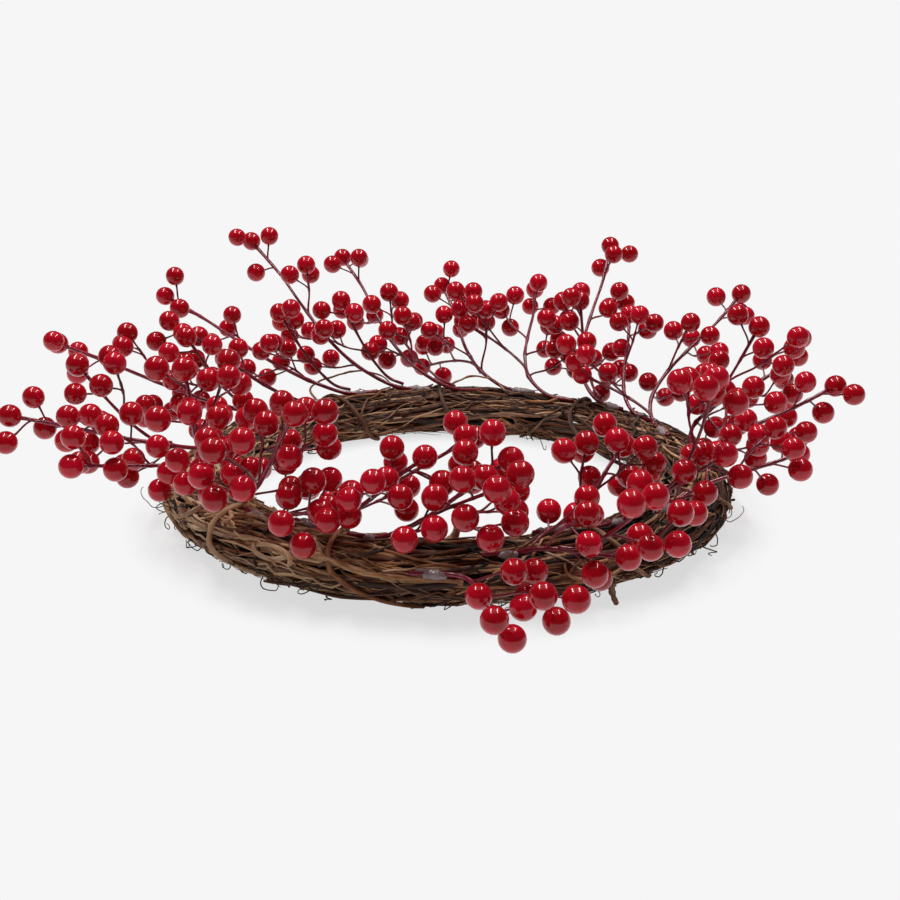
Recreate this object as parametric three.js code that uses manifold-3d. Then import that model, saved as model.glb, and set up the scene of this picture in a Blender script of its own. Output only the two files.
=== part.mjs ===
// A berry wreath: a ring of wound grapevine, bound with thin vine, that carries twenty-five
// artificial berry sprays. Each spray is a wire stem wrapped in tape, most with a side branch
// taped on, and a lacquered berry on the end of every stalk. Millimetres, +Z up. The wreath
// lies flat on z = 0, and the origin is under the middle of the berries' spread.
import * as THREE from "three";
import { mergeVertices } from "three/addons/utils/BufferGeometryUtils.js";
import Module from "manifold-3d";

const wasm = await Module();
wasm.setup();

// Sizes of the vine ring
const ringDiameter = 300; // outside, over the vines: a 12 inch wreath base
const bundleWidth = 40;
const bundleHeight = 25;
const vineDiameter = 5.2;
const vineEndDiameter = 3.2;
const vineTaperLength = 40;
const vineCount = 8;
const ropeTwist = 1; // turns of the bundle about itself in one lap
const windingGap = 0.6; // least gap between neighbouring laps
const bindingDiameter = 2.6;
const bindingCount = 4;
const bindingRoom = 13.5; // degrees between two feet that leave room for a binding turn
const bindingEvery = 2; // a turn lies in every second place that has room
const bindingSteepness = 0.9; // how much steeper it crosses the top than it runs underneath
const restDepth = 0.26; // worn off the binding vine where it rests

// Sizes of the berry sprays
const berryDiameter = 11.5;
const berrySpread = 0.03; // share by which one berry's size differs from the next
const stemDiameter = 2.6;
const stemTipDiameter = 1.8;
const branchDiameter = 2;
const branchTipDiameter = 1.5;
const twigDiameter = 1.4;
const stalkDiameter = 1.1;
const footLength = 14; // of the stem that lies along the ring
const stalkLength = 9; // of wire that shows between a branch and its berry
const twigLength = 26;
const tipBerrySpacing = 8.5;
const branchLength = 52;
const branchOverlap = 9; // of the side branch that lies taped beside its stem
const branchStart = 24; // from the foot's end to where the side branch is taped on
const clearance = 0.3; // between pieces that touch on the real wreath
const footGap = 0.1; // between a spray's foot and the vines that it lies on
const stalkNeck = 3; // of a stalk that stands close to its own wire
const spraySpan = 100; // that a spray's reach or rise of 1 stands for
const openingShare = 0.545; // of the ring's bore: half the side of the square that stays free

// Where the ring's centre stands from the middle of the berries' spread
const ringCentre = [5, -23];

// Each spray: the ring angle of its foot, the angle round the bundle where the foot lies
// (0 outwards, 90 on top), the ring angle of its tip, how far the tip reaches past the ring's
// outside and how far it rises over the ring's top, both in spray spans, and which side its
// branch leaves on, if it has one.
const sprays = [
  { foot: 2, seat: 75, tip: 22, reach: 0.68, rise: 0.32, roll: 0 },
  { foot: 15, seat: 95, tip: 40, reach: 0.88, rise: 0.54, roll: 270 },
  { foot: 28, seat: 80, tip: 50, reach: 0.24, rise: 0.44 },
  { foot: 40, seat: 75, tip: 63, reach: 0.84, rise: 0.74, roll: 0 },
  { foot: 54, seat: 95, tip: 75, reach: 0.72, rise: 0.44, roll: 270 },
  { foot: 67, seat: 75, tip: 91, reach: 0.78, rise: 0.44, roll: 180 },
  { foot: 81, seat: 95, tip: 107, reach: 0.96, rise: 0.62, roll: 90 },
  { foot: 95, seat: 80, tip: 121, reach: 1.04, rise: 0.76, roll: 0 },
  { foot: 110, seat: 80, tip: 139, reach: 0.84, rise: 0.53, roll: 0 },
  { foot: 124, seat: 95, tip: 152, reach: 0.32, rise: 0.52 },
  { foot: 138, seat: 75, tip: 163, reach: 0.82, rise: 0.44, roll: 0 },
  { foot: 152, seat: 112, tip: 206, reach: -0.32, rise: 0.24 },
  { foot: 166, seat: 60, tip: 187, reach: 0.74, rise: 0.3, roll: 0 },
  { foot: 180, seat: 95, tip: 201, reach: 0.44, rise: 0.18 },
  { foot: 194, seat: 80, tip: 222, reach: 0.1, rise: 0.54, roll: 0 },
  { foot: 207, seat: 100, tip: 240, reach: -0.08, rise: 0.58, roll: 90 },
  { foot: 220, seat: 90, tip: 243, reach: -0.12, rise: 0.14 },
  { foot: 233, seat: 110, tip: 262, reach: -0.36, rise: 0.34, roll: 270 },
  { foot: 248, seat: 100, tip: 280, reach: -0.2, rise: 0.38, roll: 90 },
  { foot: 263, seat: 30, tip: 277, reach: 0.42, rise: -0.13 },
  { foot: 276, seat: 64, tip: 295, reach: 0.22, rise: 0.06, roll: 0 },
  { foot: 289, seat: 120, tip: 318, reach: -0.4, rise: 0.26 },
  { foot: 303, seat: 95, tip: 322, reach: 0.08, rise: 0.3, roll: 0 },
  { foot: 318, seat: 80, tip: 346, reach: 0.29, rise: 0.14 },
  { foot: 336, seat: 95, tip: 5, reach: 0.58, rise: 0.32, roll: 270 },
];

// Facets
const vineSides = 5;
const coreSides = 6;
const bindingSides = 4;
const stepsPerLap = 20;
const bindingStepsPerTurn = 12;
const stemSides = 4;
const stemSteps = 5;
const branchSides = 3;
const branchSteps = 3;
const stalkSides = 3;
const berrySides = 5;

// Colours and finishes
const bark = { color: 0x6b4a2f, roughness: 0.85, metalness: 0 };
const darkBark = { color: 0x3f2d20, roughness: 0.9, metalness: 0 };
const lacquer = { color: 0xa80f1c, roughness: 0.15, metalness: 0 };

const degree = Math.PI / 180;
const fullTurn = 2 * Math.PI;
const goldenAngle = 137.5;
const facetedBerry = 1.08; // the faceted berry's corners stand this far out of the round one

// How far a faceted tube's flat sides lie from its middle, as a share of its radius
const flatShare = (sides) => Math.cos(Math.PI / sides);

// Sizes that follow
const halfWidth = bundleWidth / 2;
const halfHeight = bundleHeight / 2;
const bundleCircle = ringDiameter / 2 - halfWidth;
const lapSag = bundleCircle * (1 - Math.cos(Math.PI / stepsPerLap));
const bindingSag = halfWidth * (1 - Math.cos(Math.PI / bindingStepsPerTurn));
const bindingFlat = (bindingDiameter / 2) * flatShare(bindingSides);
const bundleLevel = halfHeight + clearance + bindingSag + 2 * bindingFlat - restDepth;
const bundleTop = bundleLevel + halfHeight;
const ringSkin = clearance + lapSag + bindingSag + 2 * bindingFlat;
const berryRadius = berryDiameter / 2;
const openingHalf = openingShare * (ringDiameter / 2 - bundleWidth);

const vector = (x, y, z) => new THREE.Vector3(x, y, z);

// The point at a ring angle and an angle round the bundle, offset out of the bundle's skin.
function onBundle(ringAngle, sectionAngle, offset) {
  const radius = bundleCircle + (halfWidth + offset) * Math.cos(sectionAngle);
  const level = bundleLevel + (halfHeight + offset) * Math.sin(sectionAngle);
  return vector(radius * Math.cos(ringAngle), radius * Math.sin(ringAngle), level);
}

// The direction out of the bundle at a ring angle and an angle round the bundle.
function outOfBundle(ringAngle, sectionAngle) {
  const flat = Math.cos(sectionAngle) / halfWidth;
  const up = Math.sin(sectionAngle) / halfHeight;
  return vector(flat * Math.cos(ringAngle), flat * Math.sin(ringAngle), up).normalize();
}

// What lies on the vines stays clear of their straight steps, which bulge towards the opening.
const seatOffset = (sectionAngle) => clearance + lapSag * Math.max(0, -Math.cos(sectionAngle));

// Corners round a point, square to a heading. At phase 0 the first one lies towards "up", and
// at phase 0.5 the last and the first lie on either side of it.
function ringCorners({ centre, heading, up, radius, sides, phase }) {
  const upright = up.clone().addScaledVector(heading, -up.dot(heading)).normalize();
  const side = heading.clone().cross(upright);
  return Array.from({ length: sides }, (_, s) => {
    const turn = (fullTurn * (s + phase)) / sides;
    const corner = centre.clone().addScaledVector(upright, radius * Math.cos(turn));
    return corner.addScaledVector(side, radius * Math.sin(turn));
  });
}

// One closed skin: rings of corners joined by bands of triangles.
class Skin {
  corners = [];
  faces = [];

  add(corner) {
    this.corners.push(corner);
    return this.corners.length - 1;
  }

  ring(shape) {
    return ringCorners(shape).map((corner) => this.add(corner));
  }

  // Triangles from one loop of corners to the next, whose counts may differ.
  band(lower, upper) {
    const length = (a, b) => this.corners[a].distanceTo(this.corners[b]);
    const gaps = upper.map((corner) => length(lower[0], corner));
    const first = gaps.indexOf(Math.min(...gaps));
    const below = (i) => lower[i % lower.length];
    const above = (j) => upper[(first + j) % upper.length];
    let i = 0;
    let j = 0;
    while (i < lower.length || j < upper.length) {
      if ((i + 1) / lower.length <= (j + 1) / upper.length) {
        this.faces.push(below(i), below(i + 1), above(j));
        i += 1;
      } else {
        this.faces.push(below(i), above(j + 1), above(j));
        j += 1;
      }
    }
  }

  // Closes a loop of corners; a loop that starts a tube is closed the other way round.
  cap(loop, starts) {
    for (let s = 1; s < loop.length - 1; s++) {
      const [b, c] = starts ? [loop[s + 1], loop[s]] : [loop[s], loop[s + 1]];
      this.faces.push(loop[0], b, c);
    }
  }

  geometry() {
    const geometry = new THREE.BufferGeometry();
    const places = this.corners.flatMap((corner) => corner.toArray());
    geometry.setAttribute("position", new THREE.Float32BufferAttribute(places, 3));
    geometry.setIndex(this.faces);
    return geometry;
  }
}

// A closed tube along a path, with a radius and an outward direction at each point.
function tube(path, radii, outward, sides) {
  const skin = new Skin();
  const last = path.length - 1;
  const rings = path.map((centre, i) => {
    const ahead = path[Math.min(i + 1, last)];
    const heading = ahead.clone().sub(path[Math.max(i - 1, 0)]).normalize();
    return skin.ring({ centre, heading, up: outward[i], radius: radii[i], sides, phase: 0.5 });
  });
  skin.cap(rings[0], true);
  for (let i = 0; i < last; i++) {
    for (let s = 0; s < sides; s++) {
      const next = (s + 1) % sides;
      const [a, b] = [rings[i][s], rings[i][next]];
      const [c, d] = [rings[i + 1][s], rings[i + 1][next]];
      skin.faces.push(a, b, c, b, d, c);
    }
  }
  skin.cap(rings[last], false);
  return skin.geometry();
}

// The geometry with all that lies below the floor cut off.
function wornFlat(geometry) {
  const merged = mergeVertices(geometry, 1e-4);
  const solid = new wasm.Manifold(
    new wasm.Mesh({
      numProp: 3,
      vertProperties: merged.getAttribute("position").array,
      triVerts: new Uint32Array(merged.index.array),
    }),
  );
  const mesh = solid.trimByPlane([0, 0, 1], 0).getMesh();
  const worn = new THREE.BufferGeometry();
  worn.setAttribute("position", new THREE.BufferAttribute(mesh.vertProperties, 3));
  worn.setIndex(new THREE.BufferAttribute(mesh.triVerts, 1));
  return worn;
}

// Winding of the vine ring

const vineFlat = (vineDiameter / 2) * flatShare(vineSides);
const strandSection = new THREE.EllipseCurve(0, 0, halfWidth - vineFlat, halfHeight - vineFlat);
const laps = Math.floor(strandSection.getLength() / (vineDiameter + windingGap));

// The angle round the bundle at a share of its girth, so that strands lie evenly spaced.
function girthAngle(share) {
  const whole = Math.floor(share);
  return fullTurn * (whole + strandSection.getUtoTmapping(share - whole));
}

// A place on a path of straight steps: between two corners it lies on the straight.
function onSteps(cornerAt, step) {
  const whole = Math.floor(step);
  return cornerAt(whole).lerp(cornerAt(whole + 1), step - whole);
}

// One long winding fills the skin of the bundle: each lap lands one strand further round. It is
// cut into vines whose ends fall at different places.
function windingCut(k) {
  const even = (laps * stepsPerLap * k) / vineCount;
  const shift = k % vineCount ? 5 * Math.sin(2.4 * k) : 0;
  return Math.round(even + shift);
}

const strands = [];
const stepLength = (fullTurn * bundleCircle) / stepsPerLap;
const endInset = vineEndDiameter / stepLength;

function outerVine(k) {
  const first = windingCut(k);
  const last = windingCut(k + 1);
  const ringAngle = (step) => (fullTurn * step) / stepsPerLap;
  const sectionAngle = (step) => girthAngle((step / stepsPerLap) * (ropeTwist + 1 / laps));
  const cornerAt = (step) => onBundle(ringAngle(step), sectionAngle(step), -vineFlat);
  const path = [];
  const radii = [];
  const outward = [];
  for (let n = first; n <= last; n++) {
    const step = Math.min(Math.max(n, first + endInset), last - endInset);
    const toEnd = Math.min(n - first, last - n) * stepLength;
    const full = Math.min(1, toEnd / vineTaperLength);
    const radius = (vineEndDiameter + (vineDiameter - vineEndDiameter) * full) / 2;
    path.push(onSteps(cornerAt, step));
    radii.push(radius);
    outward.push(outOfBundle(ringAngle(step), sectionAngle(step)));
    strands.push({ centre: path.at(-1), radius, step: n });
  }
  return tube(path, radii, outward, vineSides);
}

// The least gap between laps of the winding, measured between its points.
function leastGap() {
  let least = Infinity;
  strands.forEach((one, i) => {
    for (const other of strands.slice(i + 1)) {
      if (Math.abs(other.step - one.step) < stepsPerLap / 4) continue;
      const gap = one.centre.distanceTo(other.centre) - one.radius - other.radius;
      least = Math.min(least, gap);
    }
  });
  return least;
}

// The core is one thick vine with a thinner one on each side, each a lap long. Place is 0 for
// the thick one, and -1 and 1 for the ones towards the opening and away from it.
function coreVine(place) {
  const wall = vineFlat + vineDiameter / 2 + windingGap;
  const room = halfWidth - wall - clearance;
  const middle = Math.min(halfHeight - wall, room / 2);
  const outer = (room - middle) / 2;
  const out = bundleCircle + place * (middle + clearance + outer);
  const cornerAt = (step) => {
    const angle = (fullTurn * step) / stepsPerLap;
    return vector(out * Math.cos(angle), out * Math.sin(angle), bundleLevel);
  };
  const first = place * Math.round(stepsPerLap / 3);
  const path = [];
  for (let n = first; n <= first + stepsPerLap; n++) {
    const step = Math.min(Math.max(n, first + endInset), first + stepsPerLap - endInset);
    path.push(onSteps(cornerAt, step));
  }
  const radii = path.map(() => (place === 0 ? middle : outer));
  const outward = path.map(() => vector(0, 0, 1));
  return tube(path, radii, outward, coreSides);
}

// Ring angles where a binding turn crosses the top: just behind a foot that has room.
function bindingTurns() {
  const behind = (bindingDiameter + stemDiameter / 2 + clearance) / bundleCircle;
  const roomy = sprays.filter((spray, i) => {
    const before = sprays.at(i - 1).foot;
    return (spray.foot - before + 360) % 360 > bindingRoom;
  });
  return roomy
    .filter((_, n) => n % bindingEvery === bindingEvery - 1)
    .map((spray) => spray.foot * degree - behind);
}

// A binding vine goes steeply over the top of the bundle and slants along under it.
function bindingVine(k, turns) {
  const crossing = (n) => {
    const lap = Math.floor(n / turns.length);
    return turns[n - lap * turns.length] + fullTurn * lap;
  };
  const first = Math.round((k * turns.length) / bindingCount) * bindingStepsPerTurn - 5;
  const last = Math.round(((k + 1) * turns.length) / bindingCount) * bindingStepsPerTurn - 7;
  const path = [];
  const radii = [];
  const outward = [];
  for (let n = first; n <= last; n++) {
    const whole = Math.floor(n / bindingStepsPerTurn);
    const part = n / bindingStepsPerTurn - whole;
    const slant = part - (bindingSteepness * Math.sin(fullTurn * part)) / fullTurn;
    const gap = crossing(whole + 1) - crossing(whole);
    const ringAngle = crossing(whole) + gap * slant;
    const ringStep = gap * (1 - bindingSteepness * Math.cos(fullTurn * part)) / bindingStepsPerTurn;
    const sectionAngle = Math.PI / 2 - fullTurn * part;
    const slantSag = (ringDiameter / 2) * (1 - Math.cos(ringStep / 2));
    const sag = bindingSag + slantSag * Math.max(0, Math.cos(sectionAngle));
    const offset = seatOffset(sectionAngle) + sag + bindingFlat;
    path.push(onBundle(ringAngle, sectionAngle, offset));
    radii.push(bindingDiameter / 2);
    outward.push(outOfBundle(ringAngle, sectionAngle));
  }
  return wornFlat(tube(path, radii, outward, bindingSides));
}

// Growth of the sprays

// What has grown so far, as rods with round ends. A new wire or berry goes where it is clear.
const rods = [];

// The least distance between the segments a-b and c-d.
function distance(a, b, c, d) {
  const u = b.clone().sub(a);
  const v = d.clone().sub(c);
  const w = a.clone().sub(c);
  const [uu, uv, vv, uw, vw] = [u.dot(u), u.dot(v), v.dot(v), u.dot(w), v.dot(w)];
  const within = (share) => Math.min(1, Math.max(0, share));
  const cross = uu * vv - uv * uv;
  let s = cross > 1e-9 ? within((uv * vw - vv * uw) / cross) : 0;
  const t = vv > 1e-9 ? within((uv * s + vw) / vv) : 0;
  s = uu > 1e-9 ? within((uv * t - uw) / uu) : 0;
  return w.addScaledVector(u, s).addScaledVector(v, -t).length();
}

// True if a ball is clear of the ring, the floor and the wreath's opening.
function clearOfRing(centre, radius) {
  const out = Math.hypot(centre.x, centre.y) - bundleCircle;
  const up = centre.z - bundleLevel;
  const skin = ringSkin + radius + clearance;
  const reach = (out / (halfWidth + skin)) ** 2 + (up / (halfHeight + skin)) ** 2;
  const square = Math.max(Math.abs(centre.x), Math.abs(centre.y));
  return reach > 1 && square > openingHalf + radius && centre.z > radius + clearance;
}

// True if a rod is clear of all others, apart from those of one owner.
function clearOfRods(a, b, radius, owner) {
  return rods.every(
    (rod) =>
      rod.owner === owner || distance(a, b, rod.a, rod.b) > radius + rod.radius + clearance,
  );
}

// A wire: a path of rings, with the stalks and twigs that leave its side faces and the berry
// on its end. A wire that leaves another one starts on a face of that one.
class Wire {
  constructor({ path, from, to, sides, up, phase = 0.5 }) {
    this.path = path;
    this.sides = sides;
    this.phase = phase;
    this.outlets = [];
    this.berry = null;
    const last = path.length - 1;
    this.radii = path.map((_, i) => (from + ((to - from) * i) / last) / 2);
    this.headings = path.map((_, i) => {
      const ahead = path[Math.min(i + 1, last)];
      return ahead.clone().sub(path[Math.max(i - 1, 0)]).normalize();
    });
    let carried = up.clone();
    this.ups = this.headings.map((heading) => {
      carried = carried.clone().addScaledVector(heading, -carried.dot(heading)).normalize();
      return carried;
    });
    this.lengths = path.slice(1).map((point, i) => point.distanceTo(path[i]));
    this.length = this.lengths.reduce((sum, length) => sum + length, 0);
    path.slice(1).forEach((point, i) => {
      rods.push({ a: path[i], b: point, radius: this.radii[i], owner: this });
    });
  }

  // The shape of the ring of corners at a point of the path.
  ringShape(i) {
    return {
      centre: this.path[i],
      heading: this.headings[i],
      up: this.ups[i],
      radius: this.radii[i],
      sides: this.sides,
      phase: this.phase,
    };
  }

  // The segment at a length along the wire, and the share of that segment.
  segmentAt(length) {
    let left = length;
    let segment = 0;
    while (segment < this.lengths.length - 1 && left > this.lengths[segment]) {
      left -= this.lengths[segment];
      segment += 1;
    }
    return { segment, share: Math.min(0.85, Math.max(0.15, left / this.lengths[segment])) };
  }

  // The face of a segment that looks nearest to a roll about the wire, if nothing leaves it.
  faceAt({ segment, share }, roll) {
    const side =
      (Math.round((roll / 360) * this.sides - 0.5 - this.phase) + 10 * this.sides) % this.sides;
    if (this.outlets.some((outlet) => outlet.segment === segment && outlet.side === side)) {
      return null;
    }
    const low = ringCorners(this.ringShape(segment));
    const high = ringCorners(this.ringShape(segment + 1));
    const next = (side + 1) % this.sides;
    const root = low[side].clone().lerp(low[next], 0.5);
    root.lerp(high[side].clone().lerp(high[next], 0.5), share);
    const rising = high[next].clone().sub(low[side]);
    const normal = rising.cross(high[side].clone().sub(low[next])).normalize();
    const heading = this.path[segment + 1].clone().sub(this.path[segment]).normalize();
    return { segment, share, side, root, heading, normal };
  }

  // Ends the wire in a berry.
  bear(radius) {
    const heading = this.headings.at(-1);
    const centre = this.path.at(-1).clone().addScaledVector(heading, radius);
    this.berry = { centre, heading, radius };
    rods.push({ a: centre, b: centre, radius: radius * facetedBerry, owner: this.berry });
  }
}

// Ways to try for what leaves a wire, nearest to the wanted ones first.
const rollTries = [0, 30, -30, 60, -60, 90, -90, 120, -120, 150, -150, 180];
const stretchTries = [1, 1.3, 1.65, 0.8];

// Hangs a wire with a berry on a face of another wire: a stalk, or a twig with an elbow. The
// first way that is clear is taken. Where there is no room, nothing grows.
function grow(wire, length, wantedRoll, { reach, tilts, from, elbow, size }) {
  const place = wire.segmentAt(length);
  const radius = berryRadius * size;
  const thickness = Math.max(from, stalkDiameter) / 2;
  for (const tilt of tilts) {
    for (const stretch of stretchTries) {
      for (const turn of rollTries) {
        const face = wire.faceAt(place, wantedRoll + turn);
        if (!face) continue;
        const way = face.heading.clone().multiplyScalar(Math.cos(tilt * degree));
        way.addScaledVector(face.normal, Math.sin(tilt * degree));
        const ahead = way.clone().addScaledVector(face.heading, elbow).normalize();
        const bend = face.root.clone().addScaledVector(way, (reach * stretch) / 2);
        const end = bend.clone().addScaledVector(ahead, (reach * stretch) / 2);
        const centre = end.clone().addScaledVector(ahead, radius);
        const near = face.root.clone().addScaledVector(way, clearance);
        const off = face.root.clone().addScaledVector(way, stalkNeck);
        if (
          clearOfRing(centre, radius * facetedBerry) &&
          clearOfRing(bend, thickness) &&
          clearOfRods(centre, centre, radius * facetedBerry, null) &&
          clearOfRods(near, bend, thickness, wire) &&
          clearOfRods(off, bend, thickness, null) &&
          clearOfRods(bend, end, thickness, null)
        ) {
          const path = elbow ? [face.root, bend, end] : [face.root, end];
          const up = face.heading;
          const shape = { path, from, to: stalkDiameter, sides: stalkSides, up, phase: 0 };
          const child = new Wire(shape);
          child.bear(radius);
          wire.outlets.push({ ...face, wire: child });
          return child;
        }
      }
    }
  }
  return null;
}

// A berry on a stalk.
function growStalk(wire, length, roll, size) {
  const shape = { reach: stalkLength, tilts: [52, 38, 66, 80], from: stalkDiameter, elbow: 0 };
  return grow(wire, length, roll, { ...shape, size });
}

// A twig of three berries.
function growTwig(wire, length, roll, size) {
  const shape = { reach: twigLength, tilts: [45, 58, 72], from: twigDiameter, elbow: 0.35 };
  const twig = grow(wire, length, roll, { ...shape, size });
  if (!twig) return;
  growStalk(twig, twig.length * 0.6, 60, size);
  growStalk(twig, twig.length * 0.74, 300, size);
}

// The main stem: a foot along the ring, then a curve that rises to the spray's tip.
function mainStem(spray) {
  const seat = spray.seat * degree;
  const footTurn = footLength / bundleCircle;
  const flat = (stemDiameter / 2) * flatShare(stemSides);
  const offset = seatOffset(seat) - clearance + footGap + flat;
  const foot = [0, 0.5, 1].map((share) =>
    onBundle(spray.foot * degree + footTurn * share, seat, offset),
  );
  const leave = foot.at(-1);
  const tipOut = ringDiameter / 2 + spray.reach * spraySpan;
  const tip = vector(
    tipOut * Math.cos(spray.tip * degree),
    tipOut * Math.sin(spray.tip * degree),
    bundleTop + spray.rise * spraySpan,
  );
  const span = tip.distanceTo(leave);
  const outward = outOfBundle(spray.foot * degree + footTurn, seat);
  const heading = leave.clone().sub(foot[1]).normalize();
  heading.addScaledVector(outward, 0.25).normalize();
  const straight = tip.clone().sub(leave).normalize();
  const curve = new THREE.CubicBezierCurve3(
    leave,
    leave.clone().addScaledVector(heading, span * 0.35),
    tip.clone().addScaledVector(straight, -span * 0.3),
    tip,
  );
  return new Wire({
    path: [...foot, ...curve.getPoints(stemSteps).slice(1)],
    from: stemDiameter,
    to: stemTipDiameter,
    sides: stemSides,
    up: outOfBundle(spray.foot * degree, seat),
  });
}

// The side branch starts taped beside the stem, then curves away from it.
function sideBranch(stem, wantedRoll) {
  const low = stem.segmentAt(footLength + branchStart);
  low.share = 0.15;
  const overlap = Math.min(0.7, branchOverlap / stem.lengths[low.segment]);
  let best = null;
  for (const tilt of [36, 48, 60, 24]) {
    for (const stretch of stretchTries) {
      for (const turn of rollTries) {
        const face = stem.faceAt(low, wantedRoll + turn);
        if (!face || best) continue;
        const beside = (branchDiameter / 2) * flatShare(branchSides) + clearance;
        const start = face.root.clone().addScaledVector(face.normal, beside);
        const leave = start.clone().addScaledVector(
          face.heading,
          overlap * stem.lengths[low.segment],
        );
        const way = face.heading.clone().multiplyScalar(Math.cos(tilt * degree));
        way.addScaledVector(face.normal, Math.sin(tilt * degree));
        const reach = branchLength * stretch;
        const bend = leave.clone().addScaledVector(face.heading, reach * 0.3);
        bend.addScaledVector(face.normal, reach * 0.08);
        const end = leave.clone().addScaledVector(way, reach);
        const curve = new THREE.QuadraticBezierCurve3(leave, bend, end);
        const path = [start, ...curve.getPoints(branchSteps)];
        const clear = path.slice(2).every((point, i) => {
          const before = i === 0 ? path[1].clone().lerp(point, 0.3) : path[i + 1];
          return (
            clearOfRing(point, branchDiameter) &&
            clearOfRods(before, point, branchDiameter / 2, null)
          );
        });
        const beyond = end.clone().addScaledVector(way, berryRadius);
        if (
          clear &&
          clearOfRing(beyond, berryRadius * facetedBerry) &&
          clearOfRods(start, leave, branchDiameter / 2, stem) &&
          clearOfRods(beyond, beyond, berryRadius * facetedBerry * (1 + berrySpread), null)
        ) {
          best = { path, up: face.normal.clone().negate() };
          stem.outlets.push({ ...face, wire: null });
        }
      }
    }
  }
  if (!best) return null;
  return new Wire({
    ...best,
    from: branchDiameter,
    to: branchTipDiameter,
    sides: branchSides,
  });
}

const berrySize = (n) => 1 + berrySpread * Math.sin(2.1 * n);

// A cluster near a wire's tip, each berry a golden angle on from the last.
function growCluster(wire, count, roll) {
  for (let n = 0; n < count; n++) {
    const length = wire.length - tipBerrySpacing * (n + 0.6);
    growStalk(wire, length, roll + goldenAngle * n, berrySize(roll + n));
  }
}

// All sprays, grown together: stems first, then branches, then berries and twigs.
function growSprays() {
  const stems = sprays.map((spray, i) => {
    const stem = mainStem(spray);
    stem.bear(berryRadius * berrySize(i));
    return stem;
  });
  const branches = sprays.map((spray, i) => {
    const branch = spray.roll === undefined ? null : sideBranch(stems[i], spray.roll);
    branch?.bear(berryRadius * berrySize(i + 0.5));
    return branch;
  });
  stems.forEach((stem, i) => growCluster(stem, 3, goldenAngle * i));
  branches.forEach((branch, i) => {
    if (branch) growCluster(branch, 2, goldenAngle * i + 60);
  });
  stems.forEach((stem, i) => {
    const branch = branches[i];
    growTwig(stem, stem.length * 0.62, goldenAngle * i + 80, berrySize(i + 0.2));
    if (branch) growTwig(branch, branch.length * 0.5, goldenAngle * i + 200, berrySize(i + 0.4));
    growTwig(stem, stem.length * 0.44, goldenAngle * i + 260, berrySize(i + 0.6));
    if (branch) growTwig(stem, stem.length * 0.3, goldenAngle * i + 40, berrySize(i + 0.8));
  });
  return stems.map((stem, i) => ({ stem, branch: branches[i] }));
}

// Opens a side face for the stalk that leaves it, by a triangle whose corners it returns.
function openFace(skin, [a, b, c, d], outlet, length) {
  const at = (id) => skin.corners[id];
  const width = Math.min(at(a).distanceTo(at(b)), at(c).distanceTo(at(d)));
  const radius = Math.min(outlet.wire.radii[0], width * 0.34);
  const [front, left, right] = [90, 210, 330].map((turn) => {
    const across = 0.5 + (radius / width) * Math.cos(turn * degree);
    const along = outlet.share + (radius / length) * Math.sin(turn * degree);
    const near = at(a).clone().lerp(at(b), across);
    return skin.add(near.lerp(at(d).clone().lerp(at(c), across), along));
  });
  skin.faces.push(a, b, right, a, right, left);
  skin.faces.push(b, c, right, c, front, right);
  skin.faces.push(c, d, front);
  skin.faces.push(d, a, left, d, left, front);
  return [front, left, right];
}

// Skins a wire from its first ring on, with all that it carries.
function skinWire(skin, wire, start) {
  let lower = start ?? skin.ring(wire.ringShape(0));
  if (!start) skin.cap(lower, true);
  for (let i = 1; i < wire.path.length; i++) {
    const upper = skin.ring(wire.ringShape(i));
    for (let s = 0; s < wire.sides; s++) {
      const next = (s + 1) % wire.sides;
      const face = [lower[s], lower[next], upper[next], upper[s]];
      const outlet = wire.outlets.find((one) => one.segment === i - 1 && one.side === s);
      if (outlet?.wire) {
        const loop = openFace(skin, face, outlet, wire.lengths[i - 1]);
        skinWire(skin, outlet.wire, loop);
      } else {
        const [a, b, c, d] = face;
        skin.faces.push(a, b, d, b, c, d);
      }
    }
    lower = upper;
  }
  skinBerry(skin, wire, lower);
}

// A berry: two rings of corners and a pole, as a ball of twenty faces has.
function skinBerry(skin, wire, neck) {
  const { centre, heading, radius } = wire.berry;
  const corner = radius * facetedBerry;
  const latitude = Math.atan(0.5);
  const up = wire.ups.at(-1);
  const ringAt = (height, phase) =>
    skin.ring({
      centre: centre.clone().addScaledVector(heading, corner * Math.sin(height)),
      heading,
      up,
      radius: corner * Math.cos(height),
      sides: berrySides,
      phase,
    });
  const low = ringAt(-latitude, 0);
  const high = ringAt(latitude, 0.5);
  const pole = skin.add(centre.clone().addScaledVector(heading, corner));
  skin.band(neck, low);
  skin.band(low, high);
  high.forEach((corner, s) => skin.faces.push(corner, high[(s + 1) % berrySides], pole));
}

function sprayGeometry(wire) {
  const skin = new Skin();
  skinWire(skin, wire, null);
  return skin.geometry();
}

// Assembly

const wreath = new THREE.Group();
wreath.position.set(ringCentre[0], ringCentre[1], 0);

function addPiece(name, geometry, finish) {
  geometry.computeVertexNormals();
  const mesh = new THREE.Mesh(geometry, new THREE.MeshStandardMaterial(finish));
  mesh.name = name;
  wreath.add(mesh);
}

const numbered = (n) => String(n + 1).padStart(2, "0");

addPiece("core_vine_inner", coreVine(-1), bark);
addPiece("core_vine_middle", coreVine(0), bark);
addPiece("core_vine_outer", coreVine(1), bark);
for (let k = 0; k < vineCount; k++) addPiece(`outer_vine_${k + 1}`, outerVine(k), bark);
console.log(`Laps of the winding: ${laps}, least gap ${leastGap().toFixed(2)} mm`);

const turns = bindingTurns();
for (let k = 0; k < bindingCount; k++) {
  addPiece(`binding_vine_${k + 1}`, bindingVine(k, turns), darkBark);
}

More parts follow.
